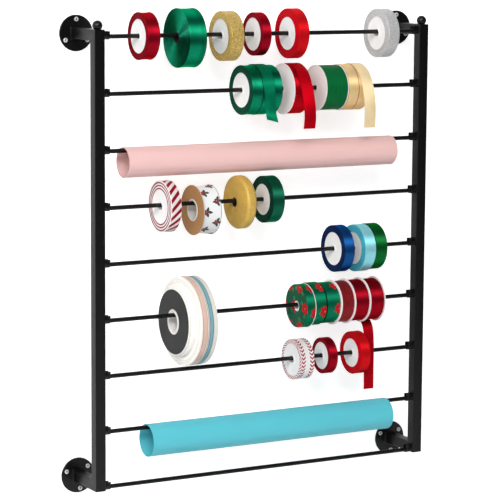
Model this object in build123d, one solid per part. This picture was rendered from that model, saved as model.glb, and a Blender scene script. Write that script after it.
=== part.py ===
"""Wall rack with nine lift-out rods that carry spools of ribbon and rolls of paper.

Lengths are in millimetres. X runs along the rods, Y runs towards the wall, Z is up.
The origin is the centre of the lower left wall flange, on the wall.
"""
from build123d import *
import os
from dataclasses import dataclass
from math import cos, radians, sin

# Side frames: square tube, mitred and welded at the corners
frame_width = 686.0          # between the centre lines of the two uprights
frame_height = 838.0
tube_size = 20.0
tube_wall = 1.5
wall_reach = 102.0           # from the wall to the front of the uprights

# Wall flanges and their screws
flange_diameter = 66.0
flange_thickness = 3.0
flange_chamfer = 0.75
flange_screw_circle = 50.0
flange_screws = 3
flange_hole_diameter = 5.0
upper_flange_turn = 90.0     # direction of the first screw, anticlockwise from +X
lower_left_flange_turn = 279.0
lower_right_flange_turn = 275.0
wall_screw_neck_diameter = 4.4
wall_screw_diameter = 4.0
wall_screw_length = 30.0     # behind the flange
wall_screw_head_diameter = 8.4
wall_screw_head_height = 2.4
wall_screw_dome = 1.68       # rounding of the head's rim

# Ball finials on the uprights
ball_diameter = 18.5
ball_rise = 7.0              # centre of the ball above the upright's top; its foot is cut flat
ball_stud_diameter = 5.0
ball_stud_length = 6.0
stud_clearance = 0.1         # round every screw and stud in its hole

# Rod cradles: open-topped cups screwed to the inner sides of the uprights
row_count = 9
lowest_cradle = 8.5          # centre of the lowest cradle, above the foot of the uprights
highest_cradle = 9.9         # centre of the highest cradle, below the top of the uprights
collar_diameter = 16.0
collar_length = 5.0
trough_width = 11.0
trough_length = 7.0
trough_rise = 9.6            # flat tops of the trough's arms above the rod centre
cradle_base = 2.0
rod_drop = 2.8               # rod centre below the collar centre
cradle_screw_diameter = 2.8
cradle_screw_length = 8.0
cradle_screw_head_diameter = 5.2
cradle_screw_head_height = 1.6
cradle_screw_chamfer = 0.4
cradle_screw_rise = 5.0      # screw centre above the rod centre

# Rods
rod_diameter = 8.0
rod_clearance = 0.3          # round the rod in its cradles and under the top of each bore
rod_end_gap = 0.6            # from the end of a rod to the head of the cradle screw
rod_chamfer = 0.5

# How far a cutter runs past the face that it opens
cut_margin = 1.0

# Spools of ribbon
plain_bore = 9.6             # of the moulded reels
reel_gap = 0.1               # between a reel and the ribbon that is wound on it
reel_recess = 1.0            # how far a plain reel lies inside the sides of its ribbon
side_gap = 0.2               # between a ribbon and the flanges of its reel
paper_tube_wall = 1.6
ribbon_edge = 0.8            # rounding of the ribbon's outer corners

# Big narrow reels, which hang just clear of the rod below
big_reel_row = 6
big_reel_bore = 34.0
big_reel_tube = 47.0
big_reel_clearance = 2.7
card_disc_diameter = 120.0
card_disc_thickness = 1.2

# Rolls of paper
paper_lap = 0.6              # step where the outer edge of the sheet ends
paper_lap_direction = 205.0  # anticlockwise from +Y
pink_paper_row = 3
pink_paper_diameter = 56.0
pink_paper_wall = 2.0
pink_paper_left = 49.0       # from the centre line of the left upright
pink_paper_right = 67.0      # from the centre line of the right upright
cyan_paper_row = 8
cyan_paper_diameter = 61.0
cyan_paper_wall = 1.4
cyan_paper_left = 97.0
cyan_paper_right = 68.0

# Loose ends of ribbon
tail_thickness = 0.6
tail_gap = 0.3               # between a loose end and the ribbon under it
tail_steps = 6               # points along the stretch that follows its winding

# Places that follow from the sizes above
foot_z = -tube_size / 2
top_z = foot_z + frame_height
front_y = -wall_reach
rod_y = front_y + tube_size / 2
middle_x = frame_width / 2
inner_left_x = tube_size / 2
inner_right_x = frame_width - tube_size / 2
row_pitch = (frame_height - lowest_cradle - highest_cradle) / (row_count - 1)
cradle_length = collar_length + trough_length
rod_start = cradle_base + cradle_screw_head_height + rod_end_gap


def rod_z(row):
    """Height of the rod's centre in a row; row 1 is the top one."""
    return foot_z + lowest_cradle - rod_drop + (row_count - row) * row_pitch


def hang(bore):
    """How far the centre of a bore lies below the centre of the rod that it hangs on."""
    return bore / 2 - rod_diameter / 2 - rod_clearance


big_reel_diameter = 2 * (row_pitch - rod_diameter / 2 - big_reel_clearance - hang(big_reel_bore))


@dataclass
class Spool:
    """One spool of ribbon on a rod. start is its left side, from the middle of the rack."""

    name: str
    row: int
    start: float
    width: float
    outer: float
    reel: float = 62.0
    bore: float = plain_bore
    waist: float = 0.0
    flange: float = 0.0
    left_flange: float = 0.0
    right_flange: float = 0.0

    @property
    def left_x(self):
        return middle_x + self.start

    @property
    def centre_z(self):
        return rod_z(self.row) - hang(self.bore)


def tube_reel(bore):
    """Outside diameter of a plain paper tube with this bore."""
    return bore + 2 * paper_tube_wall


spools = [
    Spool("crimson_satin", 1, -263.2, 24.4, 86.0, waist=0.9),
    Spool("large_green_satin", 1, -185.7, 35.1, 108.0, reel=tube_reel(18.6), bore=18.6, waist=0.8),
    Spool("gold_glitter", 1, -96.4, 26.9, 91.4, reel=64.0, bore=15.0),
    Spool("dark_red_satin", 1, -28.5, 18.8, 80.0, reel=61.0),
    Spool("bright_red_satin", 1, 44.7, 22.5, 93.2, reel=61.0),
    Spool("silver_satin", 1, 240.1, 24.4, 92.2, reel=63.0, bore=14.0),
    Spool("left_green_satin", 2, -52.4, 22.3, 92.0, reel=64.5, waist=0.5),
    Spool("middle_green_satin", 2, -29.7, 23.4, 92.6, reel=64.5),
    Spool("right_green_satin", 2, -5.9, 17.8, 91.4, reel=64.5),
    Spool("flanged_red_satin", 2, 35.9, 34.1, 93.4, flange=95.4, left_flange=2.0),
    Spool("green_grosgrain", 2, 107.6, 47.6, 84.4, flange=86.6, left_flange=2.0, right_flange=2.4),
    Spool("left_cream_satin", 2, 155.6, 22.2, 87.0),
    Spool("right_cream_satin", 2, 178.2, 24.8, 87.0),
    Spool("candy_stripe", 4, -218.9, 21.4, 95.0, reel=61.6, bore=14.0),
    Spool("printed_white", 4, -152.6, 38.1, 92.8, reel=43.0, bore=34.0, flange=92.2, left_flange=1.6),
    Spool("gold_mesh", 4, -63.9, 22.7, 99.4, reel=tube_reel(14.6), bore=14.6),
    Spool("dark_green_satin", 4, -5.6, 24.9, 88.0, reel=58.4),
    Spool("navy_satin", 5, 149.8, 22.5, 89.7, reel=63.4),
    Spool("cyan_satin", 5, 195.2, 24.6, 90.4, reel=61.4, bore=12.6),
    Spool("mid_green_satin", 5, 220.3, 25.6, 88.8),
    Spool("left_poinsettia", 6, 70.8, 19.6, 83.0, reel=20.0, bore=14.0, flange=84.2, right_flange=2.6),
    Spool("middle_poinsettia", 6, 90.9, 23.2, 82.4),
    Spool("right_poinsettia", 6, 116.9, 30.0, 78.6, flange=85.8, right_flange=2.2),
    Spool("red_glitter", 6, 147.3, 29.8, 79.6, flange=85.8, left_flange=2.0, right_flange=2.2),
    Spool("flanged_satin", 6, 177.5, 33.2, 79.8, flange=85.8, left_flange=2.2, right_flange=2.4),
    Spool("tailed_satin", 6, 211.2, 33.2, 79.8, flange=85.8, left_flange=2.4, right_flange=2.6),
    Spool("striped_edge", 7, 60.9, 29.2, 77.4, reel=62.0, bore=13.6, waist=0.6),
    Spool("claret_satin", 7, 126.2, 18.2, 69.4, reel=52.5),
    Spool("scarlet_satin", 7, 192.8, 20.6, 82.4, reel=55.2),
]

# Start, width and shortfall in diameter of the narrow reels that stand side by side
big_reels = [
    ("cream_reel", -176.6, 5.2, 0.0),
    ("peach_reel", -171.2, 11.4, 0.6),
    ("teal_reel", -159.6, 9.2, 1.4),
    ("ivory_reel", -150.2, 9.4, 1.0),
]
white_reel_start = -190.2
white_reel_width = 13.4
white_reel_diameter = 128.0
white_reel_step = 3.4        # width of the smaller part behind the card disc
white_reel_shoulder = 124.4


def ring_about_x(points, centre_z):
    """A solid turned about an axis along X through the rod's Y, from (x, radius) points."""
    outline = Polyline([(x, 0, radius) for x, radius in points], close=True)
    turned = revolve(make_face(outline), Axis.X, 360)
    return Pos(0, rod_y, centre_z) * turned


def wound_ribbon(left, right, inner, outer, waist, centre_z):
    """A winding of ribbon with eased outer corners and an outer face that may draw in a little."""
    ease = min(ribbon_edge, (right - left) / 4)
    middle = (left + right) / 2
    short = ease * (1 - cos(radians(45)))
    corners = [
        ((left, 0, outer - ease), (left + short, 0, outer - short), (left + ease, 0, outer)),
        ((right - ease, 0, outer), (right - short, 0, outer - short), (right, 0, outer - ease)),
    ]
    edges = [Line((left, 0, inner), corners[0][0]), ThreePointArc(*corners[0])]
    if waist > 0:
        edges.append(ThreePointArc(corners[0][2], (middle, 0, outer - waist), corners[1][0]))
    else:
        edges.append(Line(corners[0][2], corners[1][0]))
    edges += [
        ThreePointArc(*corners[1]),
        Line(corners[1][2], (right, 0, inner)),
        Line((right, 0, inner), (left, 0, inner)),
    ]
    turned = revolve(make_face(edges), Axis.X, 360)
    return Pos(0, rod_y, centre_z) * turned


def spool_solids(spool):
    """The reel and the ribbon wound on it, as two separate solids."""
    left, right = spool.left_x, spool.left_x + spool.width
    reel_radius, bore_radius, flange_radius = spool.reel / 2, spool.bore / 2, spool.flange / 2
    on_paper_tube = spool.reel == tube_reel(spool.bore)
    inset = 0.0 if on_paper_tube else reel_recess
    reel_left = left if spool.left_flange else left + inset
    reel_right = right if spool.right_flange else right - inset
    points = [(reel_left, bore_radius)]
    if spool.left_flange:
        points += [(left, flange_radius), (left + spool.left_flange, flange_radius),
                   (left + spool.left_flange, reel_radius)]
    else:
        points += [(reel_left, reel_radius)]
    if spool.right_flange:
        points += [(right - spool.right_flange, reel_radius), (right - spool.right_flange, flange_radius),
                   (right, flange_radius)]
    else:
        points += [(reel_right, reel_radius)]
    points += [(reel_right, bore_radius)]
    reel = ring_about_x(points, spool.centre_z)
    ribbon_left = left + (spool.left_flange + side_gap if spool.left_flange else 0)
    ribbon_right = right - (spool.right_flange + side_gap if spool.right_flange else 0)
    ribbon = wound_ribbon(ribbon_left, ribbon_right, reel_radius + reel_gap, spool.outer / 2,
                          spool.waist, spool.centre_z)
    return [reel, ribbon]


def big_reel_solids(start, width, outer):
    """A large narrow reel: a paper tube and the ribbon wound on it."""
    left, centre_z = middle_x + start, rod_z(big_reel_row) - hang(big_reel_bore)
    tube = ring_about_x([(left, big_reel_bore / 2), (left, big_reel_tube / 2),
                         (left + width, big_reel_tube / 2), (left + width, big_reel_bore / 2)], centre_z)
    ribbon = wound_ribbon(left, left + width, big_reel_tube / 2 + reel_gap, outer / 2, 0, centre_z)
    return [tube, ribbon]


def white_reel_solids():
    """The smaller reel at the left of the big ones, with a card disc on its left side."""
    left, centre_z = middle_x + white_reel_start, rod_z(big_reel_row) - hang(big_reel_bore)
    tube_radius = big_reel_tube / 2
    right = left + white_reel_width
    disc_left = left - card_disc_thickness
    tube = ring_about_x([(disc_left, big_reel_bore / 2), (disc_left, tube_radius),
                         (right, tube_radius), (right, big_reel_bore / 2)], centre_z)
    step = left + white_reel_step
    ribbon = ring_about_x([(left, tube_radius + reel_gap), (left, white_reel_shoulder / 2),
                           (step, white_reel_shoulder / 2), (step, white_reel_diameter / 2),
                           (right, white_reel_diameter / 2), (right, tube_radius + reel_gap)], centre_z)
    disc = ring_about_x([(disc_left, tube_radius + reel_gap), (disc_left, card_disc_diameter / 2),
                         (left, card_disc_diameter / 2), (left, tube_radius + reel_gap)], centre_z)
    return [tube, ribbon, disc]


def paper_roll(row, left, right, diameter, wall):
    """An open roll of paper whose outer edge ends in a small step along its whole length."""
    inner = diameter / 2 - wall
    start = radians(paper_lap_direction)

    def on_sheet(turn):
        """A point of the sheet's outer face after a share of a turn."""
        radius = diameter / 2 - paper_lap * (1 - turn)
        angle = start + turn * radians(360)
        return (left, radius * cos(angle), radius * sin(angle))

    outline = [
        ThreePointArc(on_sheet(0), on_sheet(0.25), on_sheet(0.5)),
        ThreePointArc(on_sheet(0.5), on_sheet(0.75), on_sheet(1)),
        Line(on_sheet(1), on_sheet(0)),
    ]
    full = extrude(make_face(outline), amount=right - left, dir=(1, 0, 0))
    hole = Pos((left + right) / 2, 0, 0) * Rot(0, 90, 0) * Cylinder(inner, right - left + 2 * cut_margin)
    return [Pos(0, rod_y, rod_z(row) - hang(2 * inner)) * (full - hole)]


@dataclass
class Tail:
    """A loose end of ribbon that follows its winding for a while and then hangs.

    Angles are anticlockwise from +Y about the winding's centre, so 90 is its top and 180 its front.
    hanging holds (forward of the winding's centre, above it) for each point of the free stretch.
    """

    name: str
    spool: str
    inset: float
    width: float
    wrap_from: float
    wrap_to: float
    rise: float
    hanging: list


tails = [
    Tail("green_loose_end", "middle_green_satin", 0.6, 22.2, 48, 180, 2.2,
         [(51.0, -20), (54.5, -42), (62.0, -57)]),
    Tail("red_loose_end", "flanged_red_satin", 8.6, 25.0, 60, 112, 0.6,
         [(34.5, 35.6), (48.5, 17.5), (59.0, -4.0), (66.0, -28.0), (68.0, -50.0), (65.0, -70.0)]),
    Tail("cream_loose_end", "right_cream_satin", 0.2, 24.4, 60, 112, 0.6,
         [(35.0, 31.0), (48.5, 13.0), (57.0, -8.0), (62.0, -32.0), (62.0, -54.0), (60.5, -73.0)]),
    Tail("claret_loose_end", "tailed_satin", 7.8, 22.4, 10, -62, 0.0,
         [(-12.2, -40.6), (-6.2, -45.2), (-1.2, -50.7), (2.4, -57.8), (4.8, -68.0), (6.2, -88.0),
          (6.9, -122.0), (7.2, -175.5)]),
]


def loose_end(tail):
    """The loose end as a thin strip, bent along a smooth line."""
    spool = next(s for s in spools if s.name == tail.spool)
    base = spool.outer / 2 + tail_gap + tail_thickness / 2
    path = []
    for step in range(tail_steps + 1):
        share = step / tail_steps
        angle = radians(tail.wrap_from + (tail.wrap_to - tail.wrap_from) * share)
        radius = base + tail.rise * share * share
        path.append(Vector(0, radius * cos(angle), radius * sin(angle)))
    path += [Vector(0, -forward, up) for forward, up in tail.hanging]
    line = Spline(*path)
    shares = [line.param_at_point(p) for p in path]
    sides = []
    for side in (1, -1):
        moved = [line @ s + (line % s).cross(Vector(1, 0, 0)) * side * tail_thickness / 2 for s in shares]
        sides.append(Spline(*moved))
    ends = [Line(sides[0] @ 0, sides[1] @ 0), Line(sides[0] @ 1, sides[1] @ 1)]
    strip = extrude(make_face(sides + ends), amount=tail.width, dir=(1, 0, 0))
    return Pos(spool.left_x + tail.inset, rod_y, spool.centre_z) * strip


def square_tube_piece(x, side_points, hollow):
    """A length of the square tube: its outline seen from the side, less a hollow box."""
    outline = Polyline([(x - tube_size / 2, y, z) for y, z in side_points], close=True)
    return extrude(make_face(outline), amount=tube_size, dir=(1, 0, 0)) - hollow


def cradle_screw_holes(x, inward):
    """Round cutters through one side wall of the tube, one for each cradle screw."""
    wall_middle = x + inward * (tube_size - tube_wall) / 2
    drill = Cylinder(cradle_screw_diameter / 2 + stud_clearance, tube_wall + 2 * cut_margin)
    return [Pos(wall_middle, rod_y, rod_z(row) + cradle_screw_rise) * Rot(0, 90, 0) * drill
            for row in range(1, row_count + 1)]


def upright(x, inward):
    """A mitred upright with the screw holes for its cradles; inward is +1 or -1 along X."""
    bore = tube_size - 2 * tube_wall
    back_y = front_y + tube_size
    hollow = Pos(x, rod_y, (foot_z + top_z) / 2) * Box(bore, bore, frame_height + 2 * cut_margin)
    body = square_tube_piece(x, [(front_y, foot_z), (back_y, foot_z + tube_size),
                                 (back_y, top_z - tube_size), (front_y, top_z)], hollow)
    for hole in cradle_screw_holes(x, inward):
        body -= hole
    return body


def arm(x, inward, level_z, outer_side):
    """A mitred arm from an upright to its wall flange; outer_side is +1 at the top, -1 at the foot."""
    bore = tube_size - 2 * tube_wall
    arm_end = -flange_thickness
    outer_z = level_z + outer_side * tube_size / 2
    inner_z = level_z - outer_side * tube_size / 2
    length = arm_end - front_y + 2 * cut_margin
    hollow = Pos(x, (front_y + arm_end) / 2, level_z) * Box(bore, length, bore)
    body = square_tube_piece(x, [(front_y, outer_z), (front_y + tube_size, inner_z),
                                 (arm_end, inner_z), (arm_end, outer_z)], hollow)
    for hole in cradle_screw_holes(x, inward):
        body -= hole
    if outer_side > 0:
        hole = Cylinder(ball_stud_diameter / 2 + stud_clearance, tube_wall + 2 * cut_margin)
        body -= Pos(x, rod_y, outer_z - tube_wall / 2) * hole
    return body


def flange_places():
    """Centre and first screw direction of each wall flange."""
    upper_z = foot_z + frame_height - tube_size / 2
    return {
        "upper_left": (0.0, upper_z, upper_flange_turn),
        "upper_right": (frame_width, upper_z, upper_flange_turn),
        "lower_left": (0.0, 0.0, lower_left_flange_turn),
        "lower_right": (frame_width, 0.0, lower_right_flange_turn),
    }


def flange_screw_points(x, z, turn):
    """Where the screws of one flange stand, as (x, z)."""
    radius = flange_screw_circle / 2
    angles = [radians(turn + 360 * i / flange_screws) for i in range(flange_screws)]
    return [(x + radius * cos(a), z + radius * sin(a)) for a in angles]


def about_y(x, y, z):
    """A place whose local Z points away from the wall."""
    return Pos(x, y, z) * Rot(90, 0, 0)


def wall_flange(x, z, turn):
    """A round plate with its screw holes, its back on the wall."""
    plate = about_y(x, -flange_thickness / 2, z) * Cylinder(flange_diameter / 2, flange_thickness)
    rim = plate.edges().filter_by(GeomType.CIRCLE).sort_by(Axis.Y)[0]
    plate = chamfer(rim, flange_chamfer)
    for hole_x, hole_z in flange_screw_points(x, z, turn):
        hole = Cylinder(flange_hole_diameter / 2, flange_thickness + 2 * cut_margin)
        plate -= about_y(hole_x, -flange_thickness / 2, hole_z) * hole
    return plate


def wall_screw(x, z):
    """A domed screw: head on the flange, neck through it and shank in the wall."""
    shank = Pos(0, 0, -wall_screw_length / 2) * Cylinder(wall_screw_diameter / 2, wall_screw_length)
    neck = Pos(0, 0, flange_thickness / 2) * Cylinder(wall_screw_neck_diameter / 2, flange_thickness)
    head_middle = flange_thickness + wall_screw_head_height / 2
    head = Pos(0, 0, head_middle) * Cylinder(wall_screw_head_diameter / 2, wall_screw_head_height)
    rim = head.edges().filter_by(GeomType.CIRCLE).sort_by(Axis.Z)[-1]
    head = fillet(rim, wall_screw_dome)
    return about_y(x, 0, z) * (shank + neck + head)


def finial(x):
    """A ball with a flat foot, and a stud that goes down into the arm."""
    ball = Pos(x, rod_y, top_z + ball_rise) * Sphere(ball_diameter / 2)
    ball -= Pos(x, rod_y, top_z - ball_diameter / 2) * Box(ball_diameter, ball_diameter, ball_diameter)
    stud = Pos(x, rod_y, top_z - ball_stud_length / 2) * Cylinder(ball_stud_diameter / 2, ball_stud_length)
    return ball + stud


def along_x(x, z, inward):
    """A place on an upright's inner side whose local Z points along the rod."""
    return Pos(x, rod_y, z) * Rot(0, 90 * inward, 0)


def cradle(x, row, inward):
    """One open-topped cup; x is the upright's inner side."""
    collar_z = rod_z(row) + rod_drop
    length = cradle_length
    collar = Cylinder(collar_diameter / 2, collar_length)
    body = along_x(x + inward * collar_length / 2, collar_z, inward) * collar
    trough_x = x + inward * (length - trough_length / 2)
    body += along_x(trough_x, rod_z(row), inward) * Cylinder(trough_width / 2, trough_length)
    body += Pos(trough_x, rod_y, rod_z(row) + trough_rise / 2) * Box(trough_length, trough_width, trough_rise)
    slot_radius = rod_diameter / 2 + rod_clearance
    slot_length = length - cradle_base
    slot_x = x + inward * (cradle_base + slot_length / 2)
    body -= along_x(slot_x, rod_z(row), inward) * Cylinder(slot_radius, slot_length)
    mouth = Box(slot_length, 2 * slot_radius, collar_diameter)
    body -= Pos(slot_x, rod_y, rod_z(row) + collar_diameter / 2) * mouth
    hole = Cylinder(cradle_screw_diameter / 2 + stud_clearance, 2 * (cradle_base + cut_margin))
    body -= along_x(x, rod_z(row) + cradle_screw_rise, inward) * hole
    return body


def cradle_screw(x, row, inward):
    """The screw that holds a cradle to its upright."""
    z = rod_z(row) + cradle_screw_rise
    head_x = x + inward * (cradle_base + cradle_screw_head_height / 2)
    head = along_x(head_x, z, inward) * Cylinder(cradle_screw_head_diameter / 2, cradle_screw_head_height)
    outer_edge = head.edges().filter_by(GeomType.CIRCLE).sort_by(Axis.X)[-1 if inward > 0 else 0]
    head = chamfer(outer_edge, cradle_screw_chamfer)
    shank_x = x + inward * (cradle_base - cradle_screw_length / 2)
    return head + along_x(shank_x, z, inward) * Cylinder(cradle_screw_diameter / 2, cradle_screw_length)


def rod(row):
    """A plain round rod with eased ends, lying in its two cradles."""
    left, right = inner_left_x + rod_start, inner_right_x - rod_start
    bar = along_x((left + right) / 2, rod_z(row), 1) * Cylinder(rod_diameter / 2, right - left)
    return chamfer(bar.edges().filter_by(GeomType.CIRCLE), rod_chamfer)


def build_nodes():
    """Every node of the rack, by name, as a list of separate solids."""
    rows = range(1, row_count + 1)
    upper_z = flange_places()["upper_left"][1]
    nodes = {
        "left_upright": [upright(0, 1)],
        "right_upright": [upright(frame_width, -1)],
        "left_arms": [arm(0, 1, upper_z, 1), arm(0, 1, 0, -1)],
        "right_arms": [arm(frame_width, -1, upper_z, 1), arm(frame_width, -1, 0, -1)],
        "wall_flanges": [wall_flange(*place) for place in flange_places().values()],
        "wall_screws": [wall_screw(*point) for place in flange_places().values()
                        for point in flange_screw_points(*place)],
        "ball_finials": [finial(0), finial(frame_width)],
        "left_cradles": [cradle(inner_left_x, row, 1) for row in rows],
        "right_cradles": [cradle(inner_right_x, row, -1) for row in rows],
        "cradle_screws": [cradle_screw(x, row, inward) for row in rows
                          for x, inward in ((inner_left_x, 1), (inner_right_x, -1))],
    }
    for row in rows:
        nodes[f"rod_{row}"] = [rod(row)]
    for spool in spools:
        nodes[f"{spool.name}_spool"] = spool_solids(spool)
    nodes["white_reel"] = white_reel_solids()
    for name, start, width, shortfall in big_reels:
        nodes[name] = big_reel_solids(start, width, big_reel_diameter - shortfall)
    nodes["pink_paper_roll"] = paper_roll(pink_paper_row, pink_paper_left, frame_width - pink_paper_right,
                                          pink_paper_diameter, pink_paper_wall)
    nodes["cyan_paper_roll"] = paper_roll(cyan_paper_row, cyan_paper_left, frame_width - cyan_paper_right,
                                          cyan_paper_diameter, cyan_paper_wall)
    for tail in tails:
        nodes[tail.name] = [loose_end(tail)]
    return nodes


def main():
    """Write one STEP file for each node."""
    os.makedirs("parts", exist_ok=True)
    for name, solids in build_nodes().items():
        shape = solids[0] if len(solids) == 1 else Compound(children=solids)
        shape.label = name
        export_step(shape, f"parts/{name}.step")
    print("row pitch", round(row_pitch, 2), "big reel diameter", round(big_reel_diameter, 1))


if __name__ == "__main__":
    main()
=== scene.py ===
"""Looks of a wall rack loaded with ribbon and rolls of paper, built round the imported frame.

Lengths are in millimetres in the frame's own axes until a mesh is made: X runs along the rods,
Y into the wall and Z up. Angles are in degrees anticlockwise from +Y, seen from the right end of
the rack, so 90 is the top of a roll and 180 its front.
"""
import logging
import math
import random
from dataclasses import dataclass, field
from enum import Enum
from typing import Callable, Dict, List, Sequence, Tuple, Union

import bmesh
import bpy
from mathutils import Matrix, Vector


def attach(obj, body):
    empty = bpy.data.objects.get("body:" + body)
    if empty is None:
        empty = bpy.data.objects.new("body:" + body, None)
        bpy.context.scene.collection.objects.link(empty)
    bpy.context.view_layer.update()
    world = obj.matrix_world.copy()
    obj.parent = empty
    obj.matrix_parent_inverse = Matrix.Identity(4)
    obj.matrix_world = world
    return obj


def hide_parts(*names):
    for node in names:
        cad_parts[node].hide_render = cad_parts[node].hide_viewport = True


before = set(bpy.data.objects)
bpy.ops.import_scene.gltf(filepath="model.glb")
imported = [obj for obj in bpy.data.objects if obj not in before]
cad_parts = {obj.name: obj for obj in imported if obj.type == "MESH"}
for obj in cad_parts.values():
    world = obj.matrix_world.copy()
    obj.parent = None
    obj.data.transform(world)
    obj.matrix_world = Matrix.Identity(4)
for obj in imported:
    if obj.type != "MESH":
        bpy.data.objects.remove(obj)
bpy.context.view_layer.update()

log = logging.getLogger("ribbon_rack")

MM = 0.001
# Each piece's own z runs along the rods, so that gloss is stretched round the rolls
ALONG_RODS = Matrix(((0, 0, 1), (1, 0, 0), (0, 1, 0))).to_4x4()
Point = Tuple[float, float, float]
Colour = Tuple[float, float, float]
Value = Union["Link", float, Sequence[float]]
Line = List[Tuple[float, float]]
Place = Callable[[float, float, float], Point]
Mark = Union[int, Callable[[int], int]]

# Sizes that the rack's pieces share
RACK_WIDTH = 686.0
RACK_HEIGHT = 838.0
TUBE = 20.0
REACH = 102.0
FOOT_Z = -TUBE / 2
UPPER_ARM_Z = FOOT_Z + RACK_HEIGHT - TUBE / 2
ROD_Y = -REACH + TUBE / 2
ROWS = 9
LOWEST_CRADLE, HIGHEST_CRADLE, ROD_DROP = 8.5, 9.9, 2.8
PITCH = (RACK_HEIGHT - LOWEST_CRADLE - HIGHEST_CRADLE) / (ROWS - 1)
ROD_DIAMETER = 8.0
ROD_CLEARANCE = 0.3
INNER_LEFT, INNER_RIGHT = TUBE / 2, RACK_WIDTH - TUBE / 2
MIDDLE_X = RACK_WIDTH / 2
FLANGE_THICKNESS = 3.0
REEL_GAP = 0.1
PLAIN_BORE = 9.6


def rod_z(row: int) -> float:
    """Height of a rod's centre; row 1 is the top one."""
    return FOOT_Z + LOWEST_CRADLE - ROD_DROP + (ROWS - row) * PITCH


def hang(bore: float) -> float:
    """How far the centre of a bore lies below the centre of the rod it hangs on."""
    return bore / 2 - ROD_DIAMETER / 2 - ROD_CLEARANCE


def hung(start: float, row: int, bore: float) -> Point:
    """The left end of the axis of what hangs on a rod; start is measured from the rack's middle."""
    return (MIDDLE_X + start, ROD_Y, rod_z(row) - hang(bore))


def circle(count: int, start: float = 0.0) -> List[float]:
    """The angles in radians of points spread evenly round a circle."""
    return [start + 2 * math.pi * j / count for j in range(count)]


# ---------------------------------------------------------------- shader nodes


def maths(operation: str, last: bool = False) -> Callable[..., "Link"]:
    """A method that makes a Math node of a link and other values.

    Args:
        operation: what the node does.
        last: the link comes after the other value, as in 1 - link.
    """
    def method(link: "Link", *others: Value) -> "Link":
        """The node's result."""
        return link.math(operation, *others, link) if last else link.math(operation, link, *others)
    return method


class Link:
    """A node's output socket that Python arithmetic can use."""

    def __init__(self, shader: "Shader", socket: bpy.types.NodeSocket) -> None:
        """Keep the socket and the tree it belongs to."""
        self.shader = shader
        self.socket = socket

    def math(self, operation: str, *values: Value) -> "Link":
        """A Math node on the given values."""
        return self.shader.node("ShaderNodeMath", {"operation": operation}, dict(enumerate(values)))

    __add__, __radd__ = maths("ADD"), maths("ADD", last=True)
    __sub__, __rsub__ = maths("SUBTRACT"), maths("SUBTRACT", last=True)
    __mul__, __rmul__ = maths("MULTIPLY"), maths("MULTIPLY", last=True)
    __truediv__, __pow__, __abs__ = maths("DIVIDE"), maths("POWER"), maths("ABSOLUTE")
    sine, cosine, fraction, whole = maths("SINE"), maths("COSINE"), maths("FRACT"), maths("FLOOR")
    lesser, greater, angle = maths("MINIMUM"), maths("MAXIMUM"), maths("ARCTAN2")

    def step(self, low: float, high: float) -> "Link":
        """A smooth step from 0 at low to 1 at high; low may be the larger."""
        settings = {"interpolation_type": "SMOOTHSTEP"}
        return self.shader.node("ShaderNodeMapRange", settings, {0: self, 1: low, 2: high, 3: 0.0, 4: 1.0})

    def stripe(self, share: float, soft: float) -> "Link":
        """1 from 0 to a share of the way to 1, with soft borders."""
        return self.step(0.0, soft) - self.step(share, share + soft)


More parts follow.
